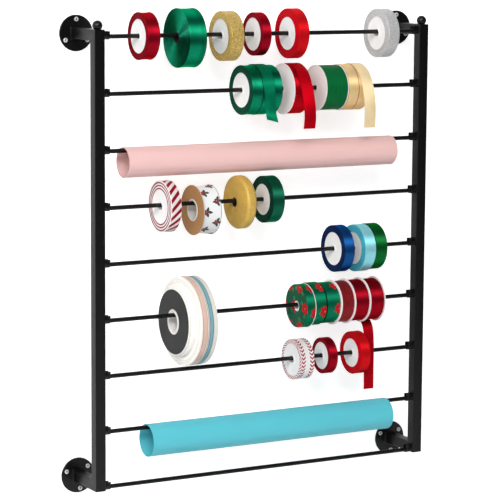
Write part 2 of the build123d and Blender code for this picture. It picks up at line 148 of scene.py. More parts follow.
class Shader:
    """A node tree that is built by method calls."""

    def __init__(self, tree: bpy.types.NodeTree) -> None:
        """Start with an empty tree."""
        self.tree = tree
        tree.nodes.clear()

    def node(self, kind: str, settings: Dict[str, object], inputs: Dict[Union[int, str], Value],
             output: Union[int, str] = 0) -> Link:
        """Add any node.

        Args:
            kind: the node's type.
            settings: its properties.
            inputs: values or links of its sockets, by index or name.
            output: the socket to return.

        Returns:
            The chosen output.
        """
        made = self.tree.nodes.new(kind)
        for name, value in settings.items():
            setattr(made, name, value)
        for key, value in inputs.items():
            socket = made.inputs[key]
            if isinstance(value, Link):
                self.tree.links.new(value.socket, socket)
            elif socket.type == "RGBA":
                socket.default_value = (*value[:3], 1.0)
            else:
                socket.default_value = value
        return Link(self, made.outputs[output])

    def output(self, kind: str, surface: Link) -> None:
        """Add the output node of the given type and end the tree with a surface."""
        self.tree.links.new(surface.socket, self.tree.nodes.new(kind).inputs["Surface"])

    def place(self) -> Tuple[Link, Link, Link]:
        """The piece's own coordinates in millimetres, as x, y and z."""
        where = self.node("ShaderNodeTexCoord", {}, {}, "Object")
        scaled = self.node("ShaderNodeVectorMath", {"operation": "SCALE"}, {0: where, 3: 1 / MM})
        return tuple(self.node("ShaderNodeSeparateXYZ", {}, {0: scaled}, i) for i in (2, 0, 1))

    def polar(self) -> Tuple[Link, Link, Link]:
        """The piece's own coordinates as x, the angle about its axis in radians and the radius."""
        x, y, z = self.place()
        return x, z.angle(y), self.length(y, z)

    def vector(self, x: Value, y: Value, z: Value) -> Link:
        """A vector from three numbers."""
        return self.node("ShaderNodeCombineXYZ", {}, {0: x, 1: y, 2: z})

    def length(self, u: Value, v: Value) -> Link:
        """The length of a line that goes u one way and v the other."""
        return self.node("ShaderNodeVectorMath", {"operation": "LENGTH"}, {0: self.vector(0.0, u, v)}, "Value")

    def noise(self, where: Link, scale: float = 1.0, detail: float = 2.0) -> Link:
        """Smooth noise about 0.5."""
        return self.node("ShaderNodeTexNoise", {}, {"Vector": where, "Scale": scale, "Detail": detail})

    def grain(self, scale: Union[float, Point], detail: float = 2.0) -> Link:
        """Smooth noise in the piece's own space.

        Args:
            scale: how many times it changes in a millimetre, or that for each axis.
            detail: how many finer layers it has.

        Returns:
            The noise, about 0.5.
        """
        where = self.place()
        if isinstance(scale, float):
            return self.noise(self.vector(*where), scale, detail)
        return self.noise(self.vector(*(w * s for w, s in zip(where, scale))), 1.0, detail)

    def threads(self) -> Link:
        """The threads of a satin ribbon, drawn out along it."""
        return self.grain((3.2, 0.035, 0.035), 3.0)

    def cells(self, scale: float) -> Link:
        """A random number for each cell of a crushed-glass pattern."""
        inputs = {"Vector": self.vector(*self.place()), "Scale": scale}
        colour = self.node("ShaderNodeTexVoronoi", {}, inputs, "Color")
        return self.node("ShaderNodeSeparateColor", {}, {0: colour}, 0)

    def mix(self, factor: Value, first: Value, second: Value) -> Link:
        """A colour between two, second where factor is 1."""
        return self.node("ShaderNodeMix", {"data_type": "RGBA"}, {0: factor, 6: first, 7: second}, 2)

    def shade(self, colour: Value, factor: Value) -> Link:
        """A colour made darker or lighter by a factor."""
        return self.node("ShaderNodeVectorMath", {"operation": "SCALE"}, {0: colour, 3: factor})

    def bump(self, height: Link, depth: float, strength: float = 1.0) -> Link:
        """A normal tilted by a height that counts depth millimetres from 0 to 1."""
        return self.node("ShaderNodeBump", {}, {"Height": height, "Distance": depth * MM, "Strength": strength})

    def surface(self, **sockets: Value) -> None:
        """Finish a material with the Principled shader, whose sockets have short names here."""
        words = {"base": "Base Color", "rough": "Roughness", "metal": "Metallic", "normal": "Normal",
                 "specular": "Specular IOR Level", "tint": "Specular Tint", "sheen": "Sheen Weight",
                 "sheen_rough": "Sheen Roughness", "stretch": "Anisotropic", "stretch_turn": "Anisotropic Rotation"}
        shader = self.node("ShaderNodeBsdfPrincipled", {}, {words[k]: v for k, v in sockets.items()})
        self.output("ShaderNodeOutputMaterial", shader)


# Gloss is drawn out round the roll, a quarter turn from its axis
ROUND_ROLL = 0.25
# Added to the count of a pattern's repeats, so that it stays above 0
WELL_ABOVE = 40.0


@dataclass(frozen=True)
class Finish:
    """A surface finish; one material is made for each different one."""

    label: str

    def dress(self, shader: Shader) -> None:
        """Fill the material's node tree."""
        raise NotImplementedError

    def material(self) -> bpy.types.Material:
        """The material, made on first use."""
        name = f"{type(self).__name__}-{self.label}"
        found = bpy.data.materials.get(name)
        if found is None:
            found = bpy.data.materials.new(name)
            found.use_nodes = True
            self.dress(Shader(found.node_tree))
        return found


def full(colour: Colour) -> Colour:
    """A colour scaled up until its strongest channel is 1."""
    return tuple(c / max(colour) for c in colour)


@dataclass(frozen=True)
class PowderCoat(Finish):
    """Baked black powder with a fine grain and rubbed places."""

    colour: Colour = (0.003, 0.003, 0.0032)
    rough: float = 0.27
    specular: float = 0.36

    def dress(self, shader: Shader) -> None:
        """Fine orange peel, and dull patches where hands have been."""
        grain, hands = shader.grain(1.4, 3.0), shader.grain(0.02)
        shader.surface(base=shader.shade(self.colour, 0.7 + 0.6 * grain),
                       rough=self.rough - 0.05 + 0.1 * hands + 0.08 * grain,
                       specular=self.specular, normal=shader.bump(grain, 0.06, 0.5))


@dataclass(frozen=True)
class ScrewSteel(Finish):
    """Bright zinc-plated steel."""

    colour: Colour = (0.9, 0.9, 0.89)

    def dress(self, shader: Shader) -> None:
        """Cloudy plating and fine scratches."""
        cloud, scratch = shader.grain(0.5, 3.0), shader.grain((4.0, 0.4, 4.0))
        shader.surface(base=shader.shade(self.colour, 0.8 + 0.3 * cloud), metal=0.55, rough=0.26 + 0.2 * scratch,
                       normal=shader.bump(scratch, 0.03, 0.4))


@dataclass(frozen=True)
class Satin(Finish):
    """Satin ribbon: threads along its length, a soft gleam and a woven edge on both sides."""

    colour: Colour
    width: float = 25.0
    gleam: float = 0.85
    rough: float = 0.54
    stretch: float = 0.9

    def dress(self, shader: Shader) -> None:
        """Gleaming threads with slightly duller edges."""
        x, _, _ = shader.place()
        threads, slow = shader.threads(), shader.grain((0.06, 0.05, 0.05), 1.0)
        edge = x.lesser(self.width - x).step(1.1, 0.5)
        shader.surface(base=shader.shade(self.colour, 0.8 + 0.22 * threads + 0.2 * slow - 0.16 * edge),
                       metal=self.gleam, rough=self.rough + 0.1 * edge, specular=0.12, tint=full(self.colour),
                       normal=shader.bump(threads * 0.6 + edge * 0.8, 0.05, 0.45),
                       stretch=self.stretch, stretch_turn=ROUND_ROLL)


@dataclass(frozen=True)
class RibbonSide(Finish):
    """The side of a winding, where the edges of all its turns show as fine rings."""

    colour: Colour
    gleam: float = 0.5
    rough: float = 0.6
    pitch: float = 0.9
    stretch: float = 0.85
    # Strength and angle of a painted highlight: the side's colour made brighter in two opposite wedges
    painted_fan_highlight: float = 0.0
    painted_fan_highlight_at: float = 2.3

    def rings(self, shader: Shader) -> Tuple[Link, Link]:
        """The distance from the axis and the ring pattern."""
        _, y, z = shader.place()
        radius = shader.length(y, z)
        wander = shader.noise(shader.vector(y * 0.04, z * 0.04, radius * 0.1), 1.0, 2.0)
        return radius, shader.noise(shader.vector(radius / self.pitch, wander * 1.5, 0.0), 1.0, 3.0)

    def dress(self, shader: Shader) -> None:
        """Rings of slightly different depth and tone. Where there is one, a painted fan-shaped highlight: the base
        colour is brightened in two opposite wedges and darkened between them.
        """
        _, lines = self.rings(shader)
        shade = 0.55 + 0.9 * lines
        # Painted highlight: two opposite bright wedges in the base colour, which turn with the spool
        if self.painted_fan_highlight:
            _, angle, _ = shader.polar()
            lean = (angle - self.painted_fan_highlight_at).cosine()
            shade = shade * (1.0 - self.painted_fan_highlight + 2.0 * self.painted_fan_highlight * (lean * lean) * (lean * lean))
        shader.surface(base=shader.shade(self.colour, shade), metal=self.gleam, rough=self.rough,
                       specular=0.1, tint=full(self.colour), normal=shader.bump(lines, 0.2, 0.6),
                       stretch=self.stretch, stretch_turn=ROUND_ROLL)


@dataclass(frozen=True)
class Glitter(Finish):
    """Ribbon covered in tiny reflecting flakes."""

    dark: Colour
    bright: Colour
    flake: float = 1.0

    def dress(self, shader: Shader) -> None:
        """Flakes of random tone and tilt in two sizes."""
        coarse, fine = shader.cells(1 / self.flake), shader.cells(2.3 / self.flake)
        tone = 0.45 * coarse + 0.55 * fine
        shader.surface(base=shader.mix(tone, self.dark, self.bright), metal=0.55, rough=0.32 + 0.4 * fine,
                       specular=0.4, normal=shader.bump(tone, 0.32, 0.7))


@dataclass(frozen=True)
class Braid(Finish):
    """Metallic thread woven on the diagonal."""

    dark: Colour
    bright: Colour
    pitch: float = 3.3
    radius: float = 46.0

    def dress(self, shader: Shader) -> None:
        """Crossing diagonals over and round the winding."""
        x, angle, radius = shader.polar()
        along, across = angle * self.radius, x + radius
        turn = 0.7 * 2 * math.pi / self.pitch
        one, two = ((along + across) * turn).sine(), ((along - across) * turn).sine()
        weave = 0.5 + 0.25 * (one + two) + 0.25 * one * two
        fleck, slow = shader.cells(1.1), shader.grain(0.08)
        base = shader.mix(0.15 + 0.5 * weave + 0.35 * fleck, self.dark, self.bright)
        shader.surface(base=shader.shade(base, 0.8 + 0.4 * slow), metal=0.3, rough=0.42 + 0.2 * fleck,
                       specular=0.3, normal=shader.bump(weave + 0.5 * fleck, 0.3, 0.7))


@dataclass(frozen=True)
class Grosgrain(Finish):
    """Matt ribbon with ribs across it and turns that show as fine lines."""

    colour: Colour
    ribs: int = 240

    def dress(self, shader: Shader) -> None:
        """Cross ribs over drawn-out thread noise."""
        _, angle, _ = shader.polar()
        rib = 0.5 + 0.5 * (angle * float(self.ribs)).sine()
        turns = shader.grain((1.1, 0.03, 0.03), 4.0)
        base = shader.shade(self.colour, 0.35 + 1.2 * turns + 0.12 * rib)
        shader.surface(base=base, metal=0.3, rough=0.55, specular=0.08, stretch=0.6, stretch_turn=ROUND_ROLL,
                       normal=shader.bump(rib * 0.4 + turns, 0.16, 0.6))


@dataclass(frozen=True)
class CandyStripe(Finish):
    """Satin with slanting stripes; the stripes close up round the winding."""

    ground: Colour
    stripe: Colour
    count: int = 18
    period: float = 16.6
    share: float = 0.5

    def dress(self, shader: Shader) -> None:
        """Slanting stripes with soft woven borders."""
        x, angle, _ = shader.polar()
        phase = (angle * (self.count / (2 * math.pi)) + x / self.period + WELL_ABOVE).fraction()
        threads = shader.threads()
        base = shader.mix(phase.stripe(self.share, 0.05), self.ground, self.stripe)
        shader.surface(base=shader.shade(base, 0.88 + 0.24 * threads), metal=0.2, rough=0.36, specular=0.2,
                       normal=shader.bump(threads, 0.05, 0.4))


@dataclass(frozen=True)
class StripedSide(RibbonSide):
    """The side of a striped winding, where the stripes show as rings."""

    ring: Colour = (0.24, 0.004, 0.014)
    spacing: float = 5.3

    def dress(self, shader: Shader) -> None:
        """Dark rings on a pale ground."""
        radius, lines = self.rings(shader)
        phase = ((radius + lines * 0.6) / self.spacing).fraction()
        base = shader.mix(phase.stripe(0.45, 0.12), self.colour, self.ring)
        shader.surface(base=shader.shade(base, 0.85 + 0.25 * lines), metal=0.1, rough=0.5, specular=0.25,
                       normal=shader.bump(lines, 0.25, 0.7))


@dataclass(frozen=True)
class TickedEdge(Finish):
    """White satin with slanting ticks along both of its edges."""

    ground: Colour
    tick: Colour
    width: float = 29.2
    border: float = 10.0
    count: int = 54

    def dress(self, shader: Shader) -> None:
        """Ticks that lean towards the middle, on the band and round its sides."""
        x, angle, _ = shader.polar()
        near = x.lesser(self.width - x)
        lean = abs(near - self.border / 2) * 0.13
        phase = (angle * (self.count / (2 * math.pi)) + lean + WELL_ABOVE).fraction()
        border = near.step(self.border, self.border - 0.6)
        threads = shader.threads()
        base = shader.mix(phase.stripe(0.48, 0.06) * border, self.ground, self.tick)
        shader.surface(base=shader.shade(base, 0.9 + 0.2 * threads), metal=0.15, rough=0.4, specular=0.35,
                       normal=shader.bump(threads + border * 0.6, 0.08, 0.5))


@dataclass(frozen=True)
class TickedSide(Finish):
    """The side of the ticked ribbon: short slanting dashes round the winding."""

    ground: Colour
    tick: Colour
    count: int = 54

    def dress(self, shader: Shader) -> None:
        """Dashes that come and go from turn to turn."""
        _, angle, radius = shader.polar()
        phase = (angle * (self.count / (2 * math.pi)) + radius * 0.16 + WELL_ABOVE).fraction()
        layer = shader.noise(shader.vector(radius * 0.8, 0.0, 0.0), 1.0, 2.0)
        base = shader.mix(phase.stripe(0.42, 0.1) * layer.step(0.2, 0.4), self.ground, self.tick)
        shader.surface(base=shader.shade(base, 0.75 + 0.4 * layer), metal=0.05, rough=0.55, specular=0.25,
                       normal=shader.bump(layer, 0.3, 0.7))


@dataclass(frozen=True)
class Print(Finish):
    """A printed ribbon whose motifs repeat on a staggered grid round the winding."""

    ground: Colour
    radius: float = 41.0
    around: int = 8
    across: float = 22.0
    gleam: float = 0.85
    flat: bool = False
    shift: float = 0.0

    def grid(self, shader: Shader) -> Tuple[Link, Link, Link]:
        """Place within a motif's cell.

        Returns:
            Along and across from the cell's middle in millimetres, and a random number for the cell.
        """
        x, y, z = shader.place()
        pitch = 2 * math.pi * self.radius / self.around
        if self.flat:
            along, over = y + 400.0, z + 400.0
        else:
            along = z.angle(y) * self.radius + (20 + self.shift) * pitch
            over = x + 20 * self.across
        lane = (over / self.across).whole()
        shifted = along / pitch + (lane * 0.5).fraction()
        cell = shader.vector(shifted.whole(), lane, 0.0)
        chance = shader.node("ShaderNodeTexWhiteNoise", {}, {"Vector": cell}, "Value")
        return (shifted.fraction() - 0.5) * pitch, ((over / self.across).fraction() - 0.5) * self.across, chance

    @staticmethod
    def leaf(u: Link, v: Link, place: Tuple[float, float], size: Tuple[float, float], turn: float) -> Link:
        """A pointed leaf.

        Args:
            u: distance along from the motif's middle.
            v: distance across.
            place: the leaf's middle.
            size: half its length and half its breadth.
            turn: its direction in degrees.

        Returns:
            1 inside the leaf.
        """
        c, s = math.cos(math.radians(turn)), math.sin(math.radians(turn))
        du, dv = u - place[0], v - place[1]
        length = abs(du * c + dv * s) / size[0]
        breadth = abs(dv * c - du * s) / size[1]
        return (length ** 1.6 + breadth ** 1.2).step(1.05, 0.85)


@dataclass(frozen=True)
class FlowerPrint(Print):
    """Large six-petalled flowers with pale hearts and small leaves."""

    petal: Colour = (0.52, 0.012, 0.02)
    leaf_green: Colour = (0.02, 0.2, 0.07)
    heart: Colour = (0.6, 0.3, 0.08)
    size: float = 8.6
    petals: int = 6

    def dress(self, shader: Shader) -> None:
        """Flowers with veined petals on a satin ground."""
        u, v, chance = self.grid(shader)
        turn, far = v.angle(u) + chance * 3.0, shader.length(u, v)
        lobe = 0.86 + 0.14 * (turn * float(self.petals)).cosine()
        bloom = (far / (lobe * self.size)).step(1.04, 0.94)
        vein = 0.5 + 0.5 * (turn * float(self.petals * 3)).cosine()
        ring = (far / self.size).step(1.5, 1.42) * (0.5 + 0.5 * (turn * 3.0 + 1.6).sine()).step(0.82, 0.94)
        threads = shader.threads()
        base = shader.mix(ring * (1.0 - bloom), self.ground, self.leaf_green)
        base = shader.mix(bloom, base, shader.shade(self.petal, 0.7 + 0.45 * vein))
        base = shader.mix(far.step(1.5, 1.0), base, self.heart)
        shader.surface(base=shader.shade(base, 0.84 + 0.3 * threads), metal=(1.0 - bloom) * self.gleam,
                       rough=0.54, specular=0.1, tint=full(self.ground), normal=shader.bump(threads, 0.05, 0.4),
                       stretch=0.85, stretch_turn=ROUND_ROLL)


@dataclass(frozen=True)
class SprigPrint(Print):
    """Small sprigs: a few dark leaves and three berries, on white cloth."""

    leaf_green: Colour = (0.02, 0.06, 0.035)
    berry: Colour = (0.34, 0.015, 0.03)
    size: float = 1.3
    width: float = 36.3

    def dress(self, shader: Shader) -> None:
        """Sprigs on a plain weave, and both edges darkened: partly the wire in them, partly painted shade where the
        wired edge curls.
        """
        u, v, chance = self.grid(shader)
        u, v = u * (1 / self.size), v * (1 / self.size)
        across = v + (chance * 2.4 - 1.2)
        leaves = self.leaf(u, across, (0.0, 4.0), (4.4, 2.2), 80.0)
        for place, size, turn in (((3.6, 0.4), (4.2, 2.1), 20.0), ((-3.6, 0.8), (4.2, 2.1), 155.0),
                                  ((0.6, -4.2), (3.6, 1.8), 100.0)):
            leaves = leaves.greater(self.leaf(u, across, place, size, turn))
        berries = self.leaf(u, across, (2.2, -2.6), (2.0, 2.0), 0.0)
        for place in ((-2.2, -2.6), (0.1, 0.6)):
            berries = berries.greater(self.leaf(u, across, place, (1.8, 1.8), 0.0))
        x, _, _ = shader.place()
        weave = shader.grain((2.4, 2.4, 2.4))
        base = shader.mix(leaves, self.ground, self.leaf_green)
        base = shader.mix(berries, base, self.berry)
        # Both edges darkened by half: the grey of the wire, and painted shade of the curled edge
        wire_and_edge_shade = x.lesser(self.width - x).step(1.9, 1.3)
        shader.surface(base=shader.shade(base, 0.92 + 0.16 * weave - 0.5 * wire_and_edge_shade), rough=0.62, specular=0.3, metal=0.0,
                       sheen=0.1, sheen_rough=0.5, normal=shader.bump(weave, 0.12, 0.5))


@dataclass(frozen=True)
class MouldedPlastic(Finish):
    """White moulded plastic with a faint grain and flow marks."""

    colour: Colour = (0.93, 0.925, 0.92)
    rough: float = 0.45

    def dress(self, shader: Shader) -> None:
        """Faint mottling and a fine grain."""
        flow, grain = shader.grain(0.06, 3.0), shader.grain(1.8)
        shader.surface(base=shader.shade(self.colour, 0.94 + 0.1 * flow), rough=self.rough + 0.12 * flow,
                       specular=0.4, normal=shader.bump(grain, 0.05, 0.4))


@dataclass(frozen=True)
class Board(Finish):
    """Card or paper tube: fibres and flecks."""

    colour: Colour
    fleck: Colour
    rough: float = 0.7

    def dress(self, shader: Shader) -> None:
        """Drawn-out fibres, a cloudy tone and scattered flecks."""
        fibre, cloud = shader.grain((0.6, 2.2, 0.5), 4.0), shader.grain(0.12, 3.0)
        base = shader.mix(shader.grain(1.1).step(0.62, 0.72) * 0.6, self.colour, self.fleck)
        shader.surface(base=shader.shade(base, 0.8 + 0.2 * fibre + 0.2 * cloud), rough=self.rough, specular=0.25,
                       normal=shader.bump(fibre + 0.5 * cloud, 0.12, 0.6))


@dataclass(frozen=True)
class WrappingPaper(Finish):
    """Smooth coloured paper with a slight gloss and faint handling creases."""

    colour: Colour
    rough: float = 0.4

    def dress(self, shader: Shader) -> None:
        """Long soft creases and a fine tooth."""
        crease, tooth = shader.grain((0.012, 0.06, 0.06), 3.0), shader.grain(1.6)
        shader.surface(base=shader.shade(self.colour, 0.95 + 0.1 * crease), rough=self.rough + 0.12 * crease,
                       specular=0.35, normal=shader.bump(crease + 0.05 * tooth, 0.5, 0.35))


# ---------------------------------------------------------------- meshes


# Points closer than this are joined, and edges shorter than this are taken out
SAME_POINT, NO_LENGTH = 0.002, 0.0005


def put(name: str, data: bpy.types.ID) -> bpy.types.Object:
    """A new object in the scene."""
    made = bpy.data.objects.new(name, data)
    bpy.context.scene.collection.objects.link(made)
    return made


class MeshMaker:
    """Collects points in millimetres and faces, and makes one piece of them."""

    def __init__(self) -> None:
        """Start empty."""
        self.points: List[Point] = []
        self.faces: List[Tuple[int, ...]] = []
        self.marks: List[int] = []

    def grid(self, rows: Sequence[Sequence[Point]], around: bool = True, closed: bool = False,
             ends: bool = False, mark: Mark = 0) -> None:
        """Join rows of points with four-sided faces.

        Args:
            rows: rows of equally many points.
            around: join each row's last point to its first.
            closed: join the last row to the first.
            ends: close the first and the last row with one face each.
            mark: the material's index, or a function that gives it for a row.
        """
        start, count = len(self.points), len(rows[0])
        for row in rows:
            self.points.extend(row)
        for i in range(len(rows) if closed else len(rows) - 1):
            below = (i + 1) % len(rows)
            for j in range(count if around else count - 1):
                k = (j + 1) % count
                self.faces.append((start + i * count + j, start + i * count + k,
                                   start + below * count + k, start + below * count + j))
                self.marks.append(mark(i) if callable(mark) else mark)
        for ring in (rows[0], rows[-1]) if ends else ():
            self.cap(ring)

    def cap(self, ring: Sequence[Point]) -> None:
        """Close a ring of points with one face."""
        start = len(self.points)
        self.points.extend(ring)
        self.faces.append(tuple(range(start, start + len(ring))))
        self.marks.append(0)

    def lathe(self, profile: Sequence[Tuple[float, float]], place: Place,
              segments: int, closed: bool = False, mark: Mark = 0) -> None:
        """Turn a profile of (height, radius) points about an axis.

        Args:
            profile: the points.
            place: turns (height, radius, angle in radians) into a point.
            segments: faces round the axis.
            closed: the profile is a ring, so the shape has a hole along its axis.
            mark: the material's index, or a function that gives it for a row of a closed shape.
        """
        rows = [[place(h, r, a) for a in circle(segments)] for h, r in profile]
        self.grid(rows, closed=closed, ends=not closed, mark=mark)

    def make(self, name: str, finishes: Sequence[Finish], origin: Point = (0.0, 0.0, 0.0),
             smooth: float = 35.0, bevel: float = 0.0) -> bpy.types.Object:
        """Make the piece.

        Args:
            name: its name.
            finishes: one for each mark.
            origin: where its own coordinates start, in the frame.
            smooth: edges under this angle are shaded smooth, in degrees.
            bevel: width of a rounding on the sharper edges.

        Returns:
            The new object, in the scene.
        """
        mesh = bpy.data.meshes.new(name)
        mesh.from_pydata([(y * MM, z * MM, x * MM) for x, y, z in self.points], [], self.faces)
        mesh.polygons.foreach_set("material_index", self.marks)
        shape = bmesh.new()
        shape.from_mesh(mesh)
        bmesh.ops.remove_doubles(shape, verts=shape.verts, dist=SAME_POINT * MM)
        bmesh.ops.dissolve_degenerate(shape, edges=shape.edges, dist=NO_LENGTH * MM)
        bmesh.ops.recalc_face_normals(shape, faces=shape.faces)
        for edge in shape.edges:
            edge.smooth = len(edge.link_faces) != 2 or edge.calc_face_angle(0.0) < math.radians(smooth)
        for face in shape.faces:
            face.smooth = True
        shape.to_mesh(mesh)
        shape.free()
        for finish in finishes:
            mesh.materials.append(finish.material())
        made = put(name, mesh)
        made.matrix_world = Matrix.Translation(Vector(origin) * MM) @ ALONG_RODS
        if bevel:
            rounding = made.modifiers.new("rounding", "BEVEL")
            rounding.width, rounding.segments = bevel * MM, 2
            rounding.limit_method, rounding.angle_limit = "ANGLE", math.radians(smooth)
        return made


def about_x(h: float, r: float, a: float) -> Point:
    """A lathe whose axis runs along X."""
    return (h, r * math.cos(a), r * math.sin(a))


def about_wall(h: float, r: float, a: float) -> Point:
    """A lathe whose axis points away from the wall."""
    return (r * math.cos(a), -h, r * math.sin(a))


def about_z(h: float, r: float, a: float) -> Point:
    """A lathe whose axis points up."""
    return (r * math.cos(a), r * math.sin(a), h)


def shifted(place: Place, by: Point) -> Place:
    """The same lathe with its axis moved."""
    def moved(h: float, r: float, a: float) -> Point:
        """One point of the moved lathe."""
        p = place(h, r, a)
        return (p[0] + by[0], p[1] + by[1], p[2] + by[2])
    return moved


def fit(piece: bpy.types.Object, body: str, slot: str, *nodes: str) -> bpy.types.Object:
    """Put a piece on its body and let it stand for CAD nodes."""
    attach(piece, body)
    if nodes:
        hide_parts(*nodes)
    log.info("%s: %d faces, rides on %s", piece.name, len(piece.data.polygons), body)
    return piece


# ---------------------------------------------------------------- the rack


BLACK = PowderCoat("tube")
ROD_BLACK = PowderCoat("rods", (0.004, 0.004, 0.0042), 0.34, 0.3)
ZINC = ScrewSteel("screws")
# Near-black steel for the middle of each wall screw's cross recess: painted shade, as the plating there is as bright
# as the head
RECESS_SHADE = ScrewSteel("sockets", (0.05, 0.05, 0.05))


@dataclass
class SideFrame:
    """One side of the rack: an upright and two arms of square tube, welded at mitred corners."""

    side: str
    x: float
    corner_radius: float = 1.0
    corner_steps: int = 4
    weld: float = 1.6

    def outline(self) -> Line:
        """The tube's outside as (across, outward) points."""
        half, r = TUBE / 2, self.corner_radius
        points = []
        for quarter, (cx, cy) in enumerate(((half - r, half - r), (r - half, half - r),
                                            (r - half, r - half), (half - r, r - half))):
            for i in range(self.corner_steps + 1):
                a = math.radians(90 * (quarter + i / self.corner_steps))
                points.append((cx + r * math.cos(a), cy + r * math.sin(a)))
        return points

    def build(self) -> None:
        """The line of tube with its mitred corners, and the weld beads at its flanges."""
        wall_end = -FLANGE_THICKNESS
        tube = MeshMaker()
        outline = self.outline()
        upper_end = [(self.x + a, wall_end, UPPER_ARM_Z + b) for a, b in outline]
        upper_corner = [(self.x + a, ROD_Y - b, UPPER_ARM_Z + b) for a, b in outline]
        lower_corner = [(self.x + a, ROD_Y - b, -b) for a, b in outline]
        lower_end = [(self.x + a, wall_end, -b) for a, b in outline]
        tube.grid([upper_end, upper_corner, lower_corner, lower_end], ends=True)
        piece = tube.make(f"{self.side}_side_frame", [BLACK], smooth=50.0, bevel=0.45)
        fit(piece, "frame", "frame_black", f"{self.side}_upright", f"{self.side}_arms")
        bead = MeshMaker()
        rng = random.Random(self.side)
        for level in (UPPER_ARM_Z, 0.0):
            rows = []
            for step in range(5):
                share = step / 4
                out = self.weld * (1 - share)
                rise = self.weld * share * (2 - share) * 0.9
                rows.append([(self.x + a * (1 + 2 * out / TUBE) * (1 + rng.uniform(0, 0.008)),
                              wall_end - rise, level + b * (1 + 2 * out / TUBE)) for a, b in outline])
            bead.grid(rows)
        fit(bead.make(f"{self.side}_weld_beads", [BLACK], smooth=60.0), "frame", "frame_black")


@dataclass
class WallFixings:
    """The round flanges and the screws that hold them to the wall."""

    screw_circle: float = 25.0
    head_radius: float = 4.2
    head_height: float = 2.4
    head_segments: int = 48
    recess_depth: float = 1.8
    recess_half_width: float = 0.9
    recess_half_length: float = 2.5
    # Rings of the head, from its middle, that take the near-black finish as painted shade in the recess
    painted_shade_rings: int = 5
    neck_radius: float = 2.1
    root_radius: float = 1.5
    thread_depth: float = 0.5
    thread_pitch: float = 1.8
    thread_segments: int = 20
    shank_length: float = 30.0
    tip_length: float = 5.0
    turns: Dict[str, float] = field(default_factory=lambda: {
        "upper_left": 90.0, "upper_right": 90.0, "lower_left": 279.0, "lower_right": 275.0})

    def places(self) -> List[Tuple[float, float, float]]:
        """Every screw as (x, z, turn of its recess)."""
        rng = random.Random(7)
        found = []
        for name, turn in self.turns.items():
            x = 0.0 if name.endswith("left") else RACK_WIDTH
            z = UPPER_ARM_Z if name.startswith("upper") else 0.0
            for i in range(3):
                a = math.radians(turn + 120 * i)
                found.append((x + self.screw_circle * math.cos(a), z + self.screw_circle * math.sin(a),
                              rng.uniform(0, math.pi)))
        return found

    def screw(self, maker: MeshMaker, x: float, z: float, turn: float) -> None:
        """One screw: a domed head with a cross recess whose middle is painted dark as shade, its neck and its threaded
        shank.
        """
        place = shifted(about_wall, (x, 0, z))
        rows: List[List[Point]] = []
        for step in range(15):
            share = step / 14
            r = self.head_radius * share
            h = FLANGE_THICKNESS + self.head_height - 0.55 * share ** 2 - 27 * max(0.0, share - 0.8) ** 2
            row = []
            for a in circle(self.head_segments):
                u, v = abs(r * math.cos(a + turn)), abs(r * math.sin(a + turn))
                inside = min(u, v) < self.recess_half_width and max(u, v) < self.recess_half_length
                row.append(place(h - (self.recess_depth if inside else 0.0), r, a))
            rows.append(row)
        rows.append([place(FLANGE_THICKNESS, self.head_radius, a) for a in circle(self.head_segments)])
        # The middle rings of the head take the near-black finish: painted shade in the recess
        maker.grid(rows, mark=lambda i: int(i < self.painted_shade_rings))
        maker.cap(rows[-1])
        neck, steps = FLANGE_THICKNESS - 0.2, 84
        body: List[List[Point]] = []
        for step in range(steps + 1):
            h = neck - (self.shank_length + neck) * step / steps
            row = []
            for j, a in enumerate(circle(self.thread_segments)):
                phase = (h / self.thread_pitch + j / self.thread_segments) % 1.0
                crest = self.thread_depth * (1 - abs(2 * phase - 1))
                taper = max(0.12, min(1.0, (h + self.shank_length) / self.tip_length))
                row.append(place(h, (self.root_radius + crest) * taper if h < -1 else self.neck_radius, a))
            body.append(row)
        maker.grid(body, ends=True)

    def build(self) -> None:
        """Dress the CAD flanges and make the screws."""
        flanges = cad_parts["wall_flanges"]
        flanges.data.materials.clear()
        flanges.data.materials.append(BLACK.material())
        maker = MeshMaker()
        for x, z, turn in self.places():
            self.screw(maker, x, z, turn)
        fit(maker.make("wall_screw_set", [ZINC, RECESS_SHADE], smooth=40.0), "frame", "screw_steel", "wall_screws")


@dataclass
class Finials:
    """The balls on top of the uprights."""

    diameter: float = 18.5
    rise: float = 7.0
    stud: float = 5.0

    def build(self) -> None:
        """Both balls in one piece, each with a flat foot and the start of its stud."""
        top = FOOT_Z + RACK_HEIGHT
        r = self.diameter / 2
        profile = [(-6.0, self.stud / 2), (0.0, self.stud / 2)]
        foot = math.pi - math.acos(self.rise / r)
        for i in range(25):
            a = foot - foot * i / 24
            profile.append((self.rise + r * math.cos(a), max(0.02, r * math.sin(a))))
        maker = MeshMaker()
        for x in (0.0, RACK_WIDTH):
            maker.lathe(profile, shifted(about_z, (x, ROD_Y, top)), 48)
        fit(maker.make("finial_balls", [BLACK], smooth=30.0), "frame", "frame_black", "ball_finials")


